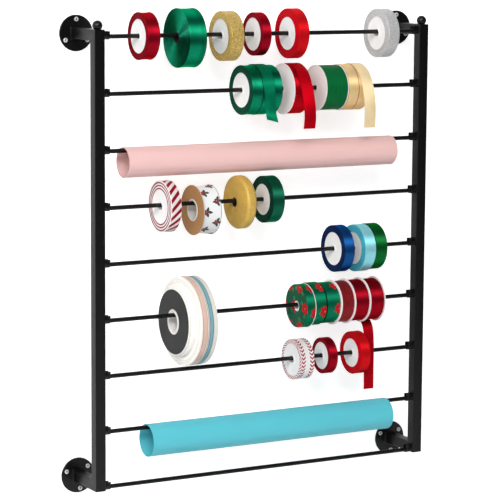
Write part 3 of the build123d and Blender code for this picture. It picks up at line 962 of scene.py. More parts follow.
@dataclass
class Cradles:
    """The open-topped cups that carry the rods, with their screws."""

    side: str
    face_x: float
    inward: int
    collar_radius: float = 8.0
    collar_length: float = 5.0
    trough_half: float = 5.5
    trough_rise: float = 9.6
    length: float = 12.0
    base: float = 2.0
    slot: float = 4.3
    screw_rise: float = 5.0
    screw_radius: float = 2.6
    screw_height: float = 1.6
    screw_turn: float = 0.6
    screw_slot_half: float = 0.35
    screw_slot_depth: float = 0.7
    shank_radius: float = 1.4

    def collar(self) -> Line:
        """The collar's outside, clockwise from one side of the slot to the other."""
        r = self.collar_radius
        top = math.asin(self.slot / r)
        turns = [math.pi / 2 - top - (2 * math.pi - 2 * top) * i / 30 for i in range(31)]
        return [(r * math.cos(a), ROD_DROP + r * math.sin(a)) for a in turns]

    def trough(self) -> Line:
        """The trough's outside the same way: flat tops, straight sides and a round bottom."""
        half, high = self.trough_half, self.trough_rise
        side = [(half, high * (1 - i / 5)) for i in range(6)]
        right = [(self.slot, high), ((self.slot + half) / 2, high)] + side
        bottom = [(half * math.cos(math.pi * i / 16), -half * math.sin(math.pi * i / 16)) for i in range(1, 16)]
        return right + bottom + [(-y, z) for y, z in reversed(right)]

    def section(self, x: float, outer: Line, z: float) -> List[Point]:
        """The U of a cup at one x: its outside, then the slot."""
        high = outer[-1][1]
        left = [(-self.slot, high * (1 - i / 4)) for i in range(1, 4)]
        turns = [math.pi + math.pi * i / 14 for i in range(15)]
        bottom = [(self.slot * math.cos(a), self.slot * math.sin(a)) for a in turns]
        right = [(self.slot, high * i / 4) for i in range(1, 4)]
        return [(self.face_x + self.inward * x, ROD_Y + y, z + dz) for y, dz in outer + left + bottom + right]

    def cup(self, maker: MeshMaker, row: int) -> None:
        """One cup and its round base."""
        z = rod_z(row)
        stations = [(self.base - 0.6, self.collar()), (self.collar_length, self.collar()),
                    (self.collar_length, self.trough()), (self.length, self.trough())]
        rings = [self.section(x, outer, z) for x, outer in stations]
        maker.grid(rings, ends=True)
        maker.lathe([(0.0, self.collar_radius), (self.base, self.collar_radius)],
                    self.turned(z + ROD_DROP), 40)

    def turned(self, z: float) -> Place:
        """A lathe at a height on the upright's face, whose axis points into the rack."""
        return shifted(lambda h, r, a: about_x(self.inward * h, r, a), (self.face_x, ROD_Y, z))

    def screws(self, maker: MeshMaker, row: int) -> None:
        """The screw of one cup, turned a little from row to row, with a cross in its head."""
        place = self.turned(rod_z(row) + self.screw_rise)
        around = circle(32, self.screw_turn * row)
        rows = []
        for step in range(9):
            share = step / 8
            r, h = self.screw_radius * share, self.base + self.screw_height - 0.5 * share ** 3
            row_points = []
            for a in around:
                cross = min(abs(r * math.cos(a)), abs(r * math.sin(a))) < self.screw_slot_half and share < 0.75
                row_points.append(place(h - (self.screw_slot_depth if cross else 0.0), r, a))
            rows.append(row_points)
        rows += [[place(h, r, a) for a in around] for h, r in
                 ((self.base, self.screw_radius), (self.base, self.shank_radius), (-6.0, self.shank_radius))]
        maker.grid(rows)
        maker.cap(rows[-1])

    def build(self) -> None:
        """All nine cups of this side in one piece, and their screws in another."""
        cups, screws = MeshMaker(), MeshMaker()
        for row in range(1, ROWS + 1):
            self.cup(cups, row)
            self.screws(screws, row)
        fit(cups.make(f"{self.side}_rod_cradles", [BLACK], smooth=40.0, bevel=0.3),
            "frame", "frame_black", f"{self.side}_cradles")
        fit(screws.make(f"{self.side}_cradle_screws", [ZINC], smooth=40.0), "frame", "screw_steel", "cradle_screws")


@dataclass
class Rods:
    """The nine rods."""

    start: float = 4.2
    ease: float = 0.9

    def build(self) -> None:
        """Each rod with rounded ends."""
        left, right = INNER_LEFT + self.start, INNER_RIGHT - self.start
        radius = ROD_DIAMETER / 2
        rounding = [(self.ease * (1 - math.sin(math.radians(a))), radius - self.ease * (1 - math.cos(math.radians(a))))
                    for a in (90, 60, 30, 0)]
        profile = [(left + h, r) for h, r in rounding]
        profile += [(left + (right - left) * i / 12, radius) for i in range(1, 12)]
        profile += [(right - h, r) for h, r in reversed(rounding)]
        for row in range(1, ROWS + 1):
            maker = MeshMaker()
            maker.lathe(profile, about_x, 32)
            piece = maker.make(f"rack_rod_{row}", [ROD_BLACK], (0, ROD_Y, rod_z(row)))
            fit(piece, f"rod_{row}", "rod_black", f"rod_{row}")


# ---------------------------------------------------------------- ribbon


@dataclass
class Winding:
    """Ribbon wound on a reel: ringed sides, a drawn-in face and the step where its outer end lies."""

    name: str
    width: float
    inner: float
    outer: float
    waist: float = 0.0
    ragged: float = 0.12
    end_angle: float = 230.0
    step: float = 0.35
    flare: float = 0.0
    dome: float = 0.0
    ease: float = 0.8
    ring_pitch: float = 1.5
    unevenness: float = 1.0
    segments: int = 112
    stations: int = 14

    def side_profile(self, rng: random.Random) -> Line:
        """How far in from its plane the side lies, with the radius, from the core outwards."""
        depth = self.outer - self.ease - self.inner
        count = max(4, int(depth / self.ring_pitch))
        points = []
        drift = 0.1
        for i in range(count):
            low = self.inner + depth * i / count
            drift = min(0.45, max(0.0, drift + rng.uniform(-self.ragged, self.ragged)))
            loose = self.ragged * 1.5 * rng.random() if i > count - 3 else 0.0
            sag = self.dome * (i / count) ** 2
            for share, dip in ((0.0, 0.14), (0.35, 0.0), (0.7, 0.0), (0.95, 0.14)):
                points.append((drift + loose + dip + sag, low + depth / count * share))
        return points

    def profile(self) -> Tuple[Line, int, int]:
        """The whole section and where its band starts and ends."""
        rng = random.Random(self.name)
        left, right = self.side_profile(rng), self.side_profile(rng)
        points = list(left)
        ease = min(self.ease, self.width / 4)
        lip = left[-1][0]
        points += [(lip + ease * 0.12, self.outer - ease * 0.5), (lip + ease * 0.5, self.outer - ease * 0.12)]
        first = len(points) - 1
        start, end = lip + ease, self.width - right[-1][0] - ease
        for i in range(self.stations + 1):
            t = i / self.stations
            selvedge = 0.14 * (math.exp(-t * 14) + math.exp(-(1 - t) * 14))
            points.append((start + (end - start) * t,
                           self.outer - self.waist * 4 * t * (1 - t) + selvedge * 0.6
                           - self.flare * (1 - t) ** 0.8))
        last = len(points) - 1
        points += [(end + ease * 0.5, self.outer - ease * 0.12), (end + ease * 0.88, self.outer - ease * 0.5)]
        points += [(self.width - x, r) for x, r in reversed(right)]
        return points, first, last

    def build(self, finishes: Sequence[Finish], origin: Point) -> bpy.types.Object:
        """Make the winding; finishes are those of its band and of its sides."""
        points, first, last = self.profile()
        rng = random.Random(self.name + "turn")
        waves = [(rng.uniform(0.02, 0.1), rng.uniform(0, 6.3), k) for k in (1, 2, 3, 5)]
        end = math.radians(self.end_angle)
        rows = []
        for i, (x, r) in enumerate(points):
            row = []
            band = first <= i <= last + 1
            for j in range(self.segments + 1):
                a = end + 2 * math.pi * j / self.segments
                wave = self.unevenness * sum(h * math.sin(k * a + p) for h, p, k in waves)
                lap = self.step * (j / self.segments - 1.0) if band else 0.0
                out = wave * 0.5 * max(0.0, (r - self.inner) / (self.outer - self.inner))
                row.append((x + wave * 0.35 * (0 < i < len(points) - 1), (r + lap + out) * math.cos(a),
                            (r + lap + out) * math.sin(a)))
            rows.append(row)
        maker = MeshMaker()

        def mark(i: int) -> int:
            """The band's finish between its two corners, and the sides' elsewhere."""
            return 0 if first <= i <= last else 1

        maker.grid(rows, around=False, closed=True, mark=mark)
        maker.grid([[row[-1], row[0]] for row in rows[first - 1:last + 3]], around=False)
        return maker.make(f"{self.name}_ribbon", finishes, origin, smooth=48.0)


@dataclass
class Reel:
    """A moulded reel: a drum with webbed faces, and flanges where it has them."""

    name: str
    width: float
    radius: float
    bore: float
    recess: float = 1.0
    flange: float = 0.0
    left_flange: float = 0.0
    right_flange: float = 0.0
    hub: float = 3.4
    rim: float = 1.6
    flange_rim: float = 3.2
    web: float = 0.7

    def face(self, radius: float, edge: float, rim: float) -> Line:
        """One face from the bore outwards: how far it lies inside the reel's end, with the radius."""
        b = self.bore / 2
        hub = min(self.hub, (radius - b) * 0.25)
        if radius - b < 4:
            return [(0.25, b), (0.0, b + 0.25), (0.0, radius - edge), (edge, radius)]
        return [(0.3, b), (0.0, b + 0.3), (0.0, b + hub - 0.4), (self.web, b + hub + 0.3),
                (self.web, radius - rim - 0.3), (0.0, radius - rim + 0.4), (0.0, radius - edge), (edge, radius)]

    def end(self, flange: float) -> Line:
        """One end from the bore to the drum: how far in each point lies, with its radius."""
        if not flange:
            return [(self.recess + d, r) for d, r in self.face(self.radius, 0.3, self.rim)]
        soft = flange * 0.35
        return self.face(self.flange, soft, self.flange_rim) + [
            (flange - soft, self.flange), (flange, self.flange - soft), (flange, self.radius)]

    def build(self, finish: Finish, origin: Point) -> bpy.types.Object:
        """Make the reel; origin is on its axis at its left end."""
        points = self.end(self.left_flange)
        points += [(self.width - d, r) for d, r in reversed(self.end(self.right_flange))]
        tube_end = sum(r <= self.radius - 0.8 for _, r in points[:4]) - 1 if self.left_flange else 0
        maker = MeshMaker()
        maker.lathe(points, about_x, 96, closed=True, mark=lambda i: int(i < tube_end or i == len(points) - 1))
        return maker.make(f"{self.name}_reel", [finish, finish], origin, smooth=38.0)


class Core(Enum):
    """What a ribbon is wound on."""

    MOULDED = "moulded"
    TUBE = "tube"


WHITE = MouldedPlastic("reel")
FLANGE_WHITE = MouldedPlastic("flange", (0.92, 0.88, 0.865), 0.3)
KRAFT = Board("kraft", (0.44, 0.23, 0.09), (0.3, 0.14, 0.05))
TUBE_GREY = Board("grey_tube", (0.76, 0.74, 0.71), (0.5, 0.46, 0.42))
DARK_TUBE = Board("dark_tube", (0.02, 0.022, 0.021), (0.05, 0.05, 0.05))
BLACK_CARD = Board("black_card", (0.034, 0.034, 0.035), (0.06, 0.06, 0.06), 0.62)


@dataclass
class Spool:
    """A spool of ribbon: its reel and its winding, on one rod."""

    name: str
    row: int
    start: float
    width: float
    outer: float
    band: Finish
    side: Finish
    slot: str
    reel: float = 62.0
    bore: float = PLAIN_BORE
    waist: float = 0.0
    flange: float = 0.0
    left_flange: float = 0.0
    right_flange: float = 0.0
    core: Core = Core.MOULDED
    extra: Dict[str, float] = field(default_factory=dict)
    side_gap: float = 0.2
    thin: float = 0.9

    @property
    def body(self) -> str:
        """The CAD body, which has the node's name."""
        return f"{self.name}_spool"

    @property
    def origin(self) -> Point:
        """A point on the spool's axis at its left side."""
        return hung(self.start, self.row, self.bore)

    def build(self) -> None:
        """Make the reel and the winding."""
        x, y, z = self.origin
        near, far = min(self.left_flange, self.thin), min(self.right_flange, self.thin)
        left = near + self.side_gap if near else 0.0
        right = far + self.side_gap if far else 0.0
        band = self.width - left - right
        recess = 0.0 if self.core is Core.TUBE else 1.0
        reel = Reel(self.name, self.width, self.reel / 2, self.bore, recess, self.flange / 2, near, far)
        finish, slot = ((TUBE_GREY, "card_brown") if self.core is Core.TUBE else
                        (FLANGE_WHITE, "flange_white") if self.flange else (WHITE, "reel_white"))
        self.dress_reel(fit(reel.build(finish, self.origin), self.body, slot, self.body))
        winding = Winding(self.name, band, self.reel / 2 + REEL_GAP, self.outer / 2, self.waist, **self.extra)
        fit(winding.build([self.band, self.side], (x + left, y, z)), self.body, self.slot, self.body)

    def dress_reel(self, reel: bpy.types.Object) -> None:
        """Give single reels their own finish."""
        own = {"large_green_satin": [DARK_TUBE], "gold_mesh": [DARK_TUBE],
               "printed_white": [KRAFT, TUBE_GREY]}.get(self.name)
        if own:
            for i in range(2):
                reel.data.materials[i] = own[i % len(own)].material()


CRIMSON = Satin("crimson", (0.42, 0.006, 0.02))
CRIMSON_SIDE = RibbonSide("crimson", (0.26, 0.004, 0.014))
EMERALD = Satin("emerald", (0.007, 0.31, 0.155), gleam=0.97, rough=0.48)
# The emerald ribbon's hanging end, coloured darker than its winding: painted shade
EMERALD_TAIL_PAINTED_SHADE = Satin("emerald_tail", (0.003, 0.21, 0.1), width=22.2, gleam=0.6)
EMERALD_SIDE = RibbonSide("emerald", (0.008, 0.075, 0.042))
# The large roll's side carries a painted fan-shaped highlight in its colour
BIG_EMERALD_SIDE = RibbonSide("big_emerald", (0.012, 0.19, 0.11), gleam=0.9, rough=0.42, pitch=1.3, stretch=0.97,
                              painted_fan_highlight=0.78)
SCARLET = Satin("scarlet", (0.7, 0.009, 0.014), gleam=0.5, rough=0.48)
SCARLET_SIDE = RibbonSide("scarlet", (0.58, 0.004, 0.012), gleam=0.3)
PLAIN_RED = Satin("plain_red", (0.58, 0.005, 0.014), width=31.9, gleam=0.8, rough=0.48)
# The red ribbon's hanging end, coloured slightly darker than its winding: painted shade
RED_TAIL_PAINTED_SHADE = Satin("red_tail", (0.54, 0.002, 0.01), gleam=0.5)
GOLD_BAND = Glitter("gold", (0.34, 0.19, 0.02), (1.0, 0.76, 0.27), 1.8)
GOLD_SIDE = Glitter("gold_side", (0.3, 0.18, 0.02), (0.95, 0.68, 0.22), 1.8)
SILVER_BAND = Glitter("silver", (0.42, 0.42, 0.425), (0.92, 0.92, 0.92), 1.1)
SILVER_SIDE = Glitter("silver_side", (0.36, 0.36, 0.36), (0.84, 0.84, 0.84), 1.1)
GREEN_RIB = Grosgrain("green", (0.002, 0.14, 0.036))
GREEN_RIB_SIDE = RibbonSide("green_rib", (0.01, 0.08, 0.03))
CREAM = Satin("cream", (0.92, 0.68, 0.35), gleam=0.45)
CREAM_SIDE = RibbonSide("cream", (0.66, 0.42, 0.18))
# The cream ribbon's hanging end, coloured lighter and paler than its winding: painted light
CREAM_TAIL_PAINTED_LIGHT = Satin("cream_tail", (0.92, 0.73, 0.43), gleam=0.2)
CANDY = CandyStripe("candy", (0.86, 0.8, 0.78), (0.3, 0.005, 0.018))
CANDY_SIDE = StripedSide("candy", (0.94, 0.82, 0.83), ring=(0.2, 0.003, 0.012))
SPRIGS = SprigPrint("sprigs", (0.8, 0.82, 0.815), radius=43.0, around=7, across=19.0)
WHITE_SIDE = RibbonSide("white_cloth", (0.6, 0.6, 0.58), gleam=0.0)
GOLD_MESH = Braid("gold_mesh", (0.4, 0.22, 0.022), (0.92, 0.64, 0.17))
GOLD_MESH_SIDE = Braid("gold_mesh_side", (0.42, 0.23, 0.022), (0.86, 0.58, 0.14))
FOREST = Satin("forest", (0.012, 0.15, 0.085))
FOREST_SIDE = RibbonSide("forest", (0.006, 0.045, 0.03))
NAVY = Satin("navy", (0.014, 0.11, 0.37), gleam=0.9)
NAVY_SIDE = RibbonSide("navy", (0.008, 0.024, 0.085))
CYAN = Satin("cyan", (0.34, 0.8, 0.89), gleam=0.5)
CYAN_SIDE = RibbonSide("cyan", (0.07, 0.46, 0.58), gleam=0.2)
GREEN = Satin("green", (0.01, 0.19, 0.042), gleam=0.9)
GREEN_SIDE = RibbonSide("green", (0.004, 0.045, 0.012))
FLOWERS = FlowerPrint("flowers", (0.007, 0.22, 0.11), around=5, across=40.0, size=12.5, shift=0.8)
FLOWERS_WIDE = FlowerPrint("flowers_wide", (0.007, 0.22, 0.11), radius=39.3, around=5, across=52.0, size=11.5,
                           shift=0.86)
FLOWER_FACE = FlowerPrint("flower_face", (0.012, 0.085, 0.045), radius=37.0, around=6, across=38.0, flat=True,
                          gleam=0.0, size=12.5)
RED_GLITTER = Glitter("red", (0.12, 0.002, 0.004), (0.44, 0.014, 0.02), 1.4)
CLARET = Satin("claret", (0.4, 0.006, 0.018), width=28.0)
CLARET_SIDE = RibbonSide("claret", (0.15, 0.003, 0.008))
# The claret ribbon's hanging end, coloured lighter than its winding: painted light
CLARET_TAIL_PAINTED_LIGHT = Satin("claret_tail", (0.46, 0.003, 0.01), width=22.4, gleam=0.3)
TICKED = TickedEdge("ticked", (0.94, 0.89, 0.89), (0.36, 0.004, 0.02), count=32)
TICKED_SIDE = TickedSide("ticked", (0.94, 0.9, 0.9), (0.36, 0.004, 0.02), count=32)
PINK_PAPER = WrappingPaper("pink", (0.86, 0.55, 0.53))
CYAN_PAPER = WrappingPaper("cyan", (0.11, 0.57, 0.67))

SPOOLS = [
    Spool("crimson_satin", 1, -263.2, 24.4, 86.0, CRIMSON, CRIMSON_SIDE, "satin_crimson", waist=0.9),
    Spool("large_green_satin", 1, -185.7, 35.1, 108.0, EMERALD, BIG_EMERALD_SIDE, "satin_emerald", reel=21.8,
          bore=18.6, waist=0.8, core=Core.TUBE, extra={"ring_pitch": 1.3, "end_angle": 330.0}),
    Spool("gold_glitter", 1, -96.4, 26.9, 91.4, GOLD_BAND, GOLD_SIDE, "glitter_gold", reel=64.0, bore=15.0),
    Spool("dark_red_satin", 1, -28.5, 18.8, 80.0, CRIMSON, CRIMSON_SIDE, "satin_crimson", reel=61.0),
    Spool("bright_red_satin", 1, 44.7, 22.5, 93.2, SCARLET, SCARLET_SIDE, "satin_scarlet", reel=61.0),
    Spool("silver_satin", 1, 240.1, 24.4, 92.2, SILVER_BAND, SILVER_SIDE, "satin_silver", reel=63.0, bore=14.0),
    Spool("left_green_satin", 2, -52.4, 22.3, 92.0, EMERALD, EMERALD_SIDE, "satin_emerald", reel=64.5, waist=0.5,
          extra={"ragged": 0.3}),
    Spool("middle_green_satin", 2, -29.7, 23.4, 92.6, EMERALD, EMERALD_SIDE, "satin_emerald", reel=64.5,
          extra={"ragged": 0.3, "end_angle": 20.0, "unevenness": 0.1}),
    Spool("right_green_satin", 2, -5.9, 17.8, 91.4, EMERALD, EMERALD_SIDE, "satin_emerald", reel=64.5,
          extra={"ragged": 0.25}),
    Spool("flanged_red_satin", 2, 35.9, 34.1, 93.4, PLAIN_RED, SCARLET_SIDE, "satin_red", flange=95.4,
          left_flange=2.0, extra={"end_angle": 40.0}),
    Spool("green_grosgrain", 2, 107.6, 47.6, 84.4, GREEN_RIB, GREEN_RIB_SIDE, "grosgrain_green", flange=86.6,
          left_flange=2.0, right_flange=2.4),
    Spool("left_cream_satin", 2, 155.6, 22.2, 87.0, CREAM, CREAM_SIDE, "satin_cream"),
    Spool("right_cream_satin", 2, 178.2, 24.8, 87.0, CREAM, CREAM_SIDE, "satin_cream", extra={"end_angle": 40.0}),
    Spool("candy_stripe", 4, -218.9, 21.4, 95.0, CANDY, CANDY_SIDE, "candy_stripe", reel=61.6, bore=14.0),
    Spool("printed_white", 4, -152.6, 38.1, 92.8, SPRIGS, WHITE_SIDE, "printed_white", reel=43.0, bore=34.0,
          flange=92.2, left_flange=1.6, extra={"flare": 4.4}),
    Spool("gold_mesh", 4, -63.9, 22.7, 99.4, GOLD_MESH, GOLD_MESH_SIDE, "mesh_gold", reel=17.8, bore=14.6,
          core=Core.TUBE, extra={"dome": 0.9, "ragged": 0.15, "ease": 5.0}),
    Spool("dark_green_satin", 4, -5.6, 24.9, 88.0, FOREST, FOREST_SIDE, "satin_forest", reel=58.4),
    Spool("navy_satin", 5, 149.8, 22.5, 89.7, NAVY, NAVY_SIDE, "satin_navy", reel=63.4),
    Spool("cyan_satin", 5, 195.2, 24.6, 90.4, CYAN, CYAN_SIDE, "satin_cyan", reel=61.4, bore=12.6),
    Spool("mid_green_satin", 5, 220.3, 25.6, 88.8, GREEN, GREEN_SIDE, "satin_green"),
    Spool("left_poinsettia", 6, 70.8, 19.6, 83.0, FLOWERS, FLOWER_FACE, "flower_print", reel=20.0, bore=14.0,
          flange=84.2, right_flange=2.6, extra={"ring_pitch": 6.0, "ragged": 0.05}),
    Spool("middle_poinsettia", 6, 90.9, 23.2, 82.4, FLOWERS, EMERALD_SIDE, "flower_print"),
    Spool("right_poinsettia", 6, 116.9, 30.0, 78.6, FLOWERS_WIDE, EMERALD_SIDE, "flower_print", flange=85.8,
          right_flange=2.2),
    Spool("red_glitter", 6, 147.3, 29.8, 79.6, RED_GLITTER, CLARET_SIDE, "glitter_red", flange=85.8,
          left_flange=2.0, right_flange=2.2),
    Spool("flanged_satin", 6, 177.5, 33.2, 79.8, CLARET, CLARET_SIDE, "satin_claret", flange=85.8,
          left_flange=2.2, right_flange=2.4),
    Spool("tailed_satin", 6, 211.2, 33.2, 79.8, CLARET, CLARET_SIDE, "satin_claret", flange=85.8,
          left_flange=2.4, right_flange=2.6, extra={"end_angle": 310.0}),
    Spool("striped_edge", 7, 60.9, 29.2, 77.4, TICKED, TICKED_SIDE, "striped_edge", bore=13.6, waist=0.6),
    Spool("claret_satin", 7, 126.2, 18.2, 69.4, CRIMSON, CRIMSON_SIDE, "satin_crimson", reel=52.5),
    Spool("scarlet_satin", 7, 192.8, 20.6, 82.4, SCARLET, SCARLET_SIDE, "satin_scarlet", reel=55.2),
]


@dataclass(frozen=True)
class Band:
    """One ribbon's width on a large reel, with the colours of its face and of its edges."""

    label: str
    width: float
    outer: float
    dye: str
    face: Colour
    edge: Colour
    slot: str

    def finishes(self) -> List[Finish]:
        """The finishes of its face and of its edges."""
        return [Satin(self.dye, self.face, width=self.width, gleam=0.1, rough=0.5, stretch=0.5),
                RibbonSide(self.dye, self.edge, gleam=0.0, pitch=2.6)]


@dataclass
class NarrowReel:
    """A large narrow reel: a paper tube with one or more ribbons side by side on it."""

    name: str
    start: float
    bands: List[Band]
    ahead: float = 0.0
    row: int = 6
    bore: float = 34.0
    tube: float = 47.0

    def build(self) -> None:
        """Make the tube and the windings."""
        x, y, z = hung(self.start, self.row, self.bore)
        width = self.ahead + sum(band.width for band in self.bands)
        tube = Reel(self.name, width, self.tube / 2, self.bore, 0.0)
        fit(tube.build(TUBE_GREY, (x - self.ahead, y, z)), self.name, "card_brown", self.name)
        for band in self.bands:
            winding = Winding(band.label, band.width, self.tube / 2 + REEL_GAP, band.outer / 2, segments=160,
                              ring_pitch=2.4, ragged=0.08)
            fit(winding.build(band.finishes(), (x, y, z)), self.name, band.slot, self.name)
            x += band.width


@dataclass
class CardDisc:
    """The black card disc on the face of the white reel."""

    start: float = -190.2
    inner: float = 47.2
    diameter: float = 120.0
    thickness: float = 1.2
    row: int = 6
    bore: float = 34.0
    ease: float = 0.3

    def build(self) -> None:
        """Make the disc with its cut edges slightly rounded."""
        left, out, hole = -self.thickness, self.diameter / 2, self.inner / 2
        disc = MeshMaker()
        disc.lathe([(left, hole), (left, out - self.ease), (left + self.ease, out), (-self.ease, out),
                    (-0.05, out - self.ease), (-0.05, hole)], about_x, 128, closed=True)
        origin = hung(self.start, self.row, self.bore)
        fit(disc.make("black_card_disc", [BLACK_CARD], origin), "white_reel", "card_black", "white_reel")


BIG_REEL_DIAMETER = 2 * (PITCH - ROD_DIAMETER / 2 - 2.7 - hang(34.0))
WHITE_FACE, WHITE_EDGE = (0.94, 0.925, 0.89), (0.95, 0.93, 0.89)
CREAM_WHITE = (0.93, 0.9, 0.85)
NARROW_REELS = [
    NarrowReel("white_reel", -190.2, [
        Band("white_shoulder", 3.4, 124.4, "white_shoulder", WHITE_FACE, WHITE_EDGE, "ribbon_white"),
        Band("white_main", 10.0, 128.0, "white_main", WHITE_FACE, WHITE_EDGE, "ribbon_white")], ahead=1.2),
    NarrowReel("cream_reel", -176.6, [
        Band("cream_band", 5.2, BIG_REEL_DIAMETER, "pale_cream", CREAM_WHITE, CREAM_WHITE, "ribbon_cream")]),
    NarrowReel("peach_reel", -171.2, [
        Band("peach_band", 8.6, BIG_REEL_DIAMETER - 0.6, "peach", (0.76, 0.53, 0.44), (0.6, 0.38, 0.3),
             "ribbon_peach"),
        Band("pale_band", 2.8, BIG_REEL_DIAMETER - 1.0, "pale", (0.82, 0.75, 0.69), (0.7, 0.62, 0.56),
             "ribbon_cream")]),
    NarrowReel("teal_reel", -159.6, [
        Band("pearl_band", 2.6, BIG_REEL_DIAMETER - 1.6, "pearl", (0.74, 0.73, 0.7), (0.5, 0.5, 0.48),
             "ribbon_ivory"),
        Band("teal_band", 6.6, BIG_REEL_DIAMETER - 1.4, "teal", (0.2, 0.42, 0.49), (0.1, 0.2, 0.24),
             "ribbon_teal")]),
    NarrowReel("ivory_reel", -150.2, [
        Band("ivory_band", 9.4, BIG_REEL_DIAMETER - 1.0, "ivory", (0.76, 0.74, 0.69), (0.5, 0.48, 0.44),
             "ribbon_ivory")]),
]


@dataclass
class PaperRoll:
    """A loosely wound roll of paper: one spiral sheet whose turns show at its ends."""

    name: str
    row: int
    left: float
    right: float
    diameter: float
    wall: float
    finish: Finish
    slot: str
    lap: float = 0.6
    lap_angle: float = 205.0
    paper: float = 0.22
    steps: int = 84

    def build(self) -> None:
        """Sweep the spiral along the roll."""
        inner = self.diameter / 2 - self.wall
        turns = (self.wall - self.paper) / self.lap
        count = int(turns * self.steps)
        rng = random.Random(self.name)
        slip = [rng.uniform(-0.6, 0.6) for _ in range(int(turns) + 3)]
        length = self.right - self.left
        stations = [0.0, 0.004, 0.02, 0.1, 0.25, 0.4, 0.55, 0.7, 0.85, 0.97, 0.995, 1.0]
        rows = []
        for share in stations:
            outside, inside = [], []
            for i in range(count + 1):
                turn = i / self.steps
                a = math.radians(self.lap_angle) - 2 * math.pi * turn
                k = int(turn)
                slide = (slip[k] + (slip[k + 1] - slip[k]) * (turn - k)) * (1 if share < 0.5 else -1) + 0.7
                x = slide * (1 - share) + (length - slide) * share if share in (0.0, 1.0) else length * share
                sway = 0.12 * math.sin(9 * share + a)
                r = self.diameter / 2 - self.lap * turn + sway * 0.5
                outside.append((x, r * math.cos(a), r * math.sin(a)))
                inside.append((x, (r - self.paper) * math.cos(a), (r - self.paper) * math.sin(a)))
            rows.append(outside + inside[::-1])
        maker = MeshMaker()
        maker.grid(rows)
        size = len(rows[0])
        for row in (rows[0], rows[-1]):
            for i in range(size // 2 - 1):
                maker.cap([row[i], row[i + 1], row[size - 2 - i], row[size - 1 - i]])
        origin = (self.left, ROD_Y, rod_z(self.row) - hang(2 * inner))
        node = f"{self.name}_paper_roll"
        fit(maker.make(f"{self.name}_rolled_sheet", [self.finish], origin, smooth=40.0), node, self.slot, node)


PAPER_ROLLS = [
    PaperRoll("pink", 3, 49.0, RACK_WIDTH - 67.0, 56.0, 2.0, PINK_PAPER, "paper_pink"),
    PaperRoll("cyan", 8, 97.0, RACK_WIDTH - 68.0, 61.0, 1.4, CYAN_PAPER, "paper_cyan"),
]


def curve(points: Line, steps: int) -> Line:
    """A smooth curve through points, with the given number of steps between each two."""
    before = tuple(2 * a - b for a, b in zip(points[0], points[1]))
    after = tuple(2 * a - b for a, b in zip(points[-1], points[-2]))
    ends = [before, *points, after]
    fine: Line = []
    for corners in zip(ends, ends[1:], ends[2:], ends[3:]):
        for t in (step / steps for step in range(steps)):
            fine.append(tuple(0.5 * (2 * b + (c - a) * t + (2 * a - 5 * b + 4 * c - d) * t * t
                                     + (3 * b - a - 3 * c + d) * t ** 3) for a, b, c, d in zip(*corners)))
    return fine + [points[-1]]


@dataclass
class LooseEnd:
    """The free end of a spool's ribbon: it leaves the winding and hangs."""

    name: str
    spool: str
    inset: float
    width: float
    wrap: Tuple[float, float]
    rise: float
    hanging: Line
    finish: Finish
    slot: str
    slant: float = 0.0
    crown: float = 0.5
    curl: float = 0.5
    curl_rate: float = 0.07
    thickness: float = 0.34
    gap: float = 0.3
    uneven: float = 0.3
    ease_in: float = 30.0
    wrap_steps: int = 6
    curve_steps: int = 16
    columns: int = 10
    rows: int = 90

    def line(self, spool: Spool) -> Line:
        """The strip's line seen from the side, as (y, z) points about the winding's axis."""
        base = spool.outer / 2 + self.gap + self.uneven
        points = []
        for step in range(self.wrap_steps + 1):
            share = step / self.wrap_steps
            a = math.radians(self.wrap[0] + (self.wrap[1] - self.wrap[0]) * share)
            radius = base + self.rise * share * share
            points.append((radius * math.cos(a), radius * math.sin(a)))
        points += [(-forward, up) for forward, up in self.hanging]
        return curve(points, self.curve_steps)

    def build(self) -> None:
        spool = next(s for s in SPOOLS if s.name == self.spool)
        line = self.line(spool)
        marks = [0.0]
        for a, b in zip(line, line[1:]):
            marks.append(marks[-1] + math.dist(a, b))
        length = marks[-1]
        free_from = length - sum(math.dist(a, b) for a, b in zip(self.hanging, self.hanging[1:])) - self.ease_in

        def at(distance: float) -> Tuple[float, float, float, float]:
            """The point and the outward normal at a distance along the line."""
            distance = min(max(distance, 0.0), length)
            i = next((k for k in range(1, len(marks)) if marks[k] >= distance), len(marks) - 1)
            t = (distance - marks[i - 1]) / max(1e-6, marks[i] - marks[i - 1])
            (y0, z0), (y1, z1) = line[i - 1], line[i]
            dy, dz = (y1 - y0) / math.dist(line[i - 1], line[i]), (z1 - z0) / math.dist(line[i - 1], line[i])
            return y0 + (y1 - y0) * t, z0 + (z1 - z0) * t, -dz, dy

        wide = 1 if self.wrap[1] > self.wrap[0] else -1
        layers: List[List[List[Point]]] = [[], []]
        for side, rows in zip((0.5, -0.5), layers):
            for i in range(self.rows + 1):
                row = []
                for j in range(self.columns + 1):
                    across = j / self.columns
                    short = max(self.slant * across, self.slant * (across - 1))
                    distance = length * i / self.rows * (1 - short / length)
                    y, z, ny, nz = at(distance)
                    free = min(1.0, max(0.0, (distance - free_from) / self.ease_in))
                    bulge = self.crown * free * (1 - (2 * across - 1) ** 2)
                    curl = self.curl * free * math.sin(distance * self.curl_rate + 2.0 * across)
                    lift = side * self.thickness - wide * (bulge + curl * (across - 0.5))
                    row.append((self.width * across, y + ny * lift, z + nz * lift))
                rows.append(row)
        maker = MeshMaker()
        for rows in layers:
            maker.grid(rows, around=False)
        top, under = layers
        maker.grid([top[0], under[0]], around=False)
        maker.grid([top[-1], under[-1]], around=False)
        for j in (0, -1):
            maker.grid([[row[j] for row in top], [row[j] for row in under]], around=False)
        x, y, z = spool.origin
        piece = maker.make(f"{self.name}_strip", [self.finish], (x + self.inset, y, z), smooth=50.0)
        fit(piece, f"rod_{spool.row}", self.slot, f"{self.name}_loose_end")
        log.info("%s: flat size %.1f x %.1f mm", self.name, self.width, length)


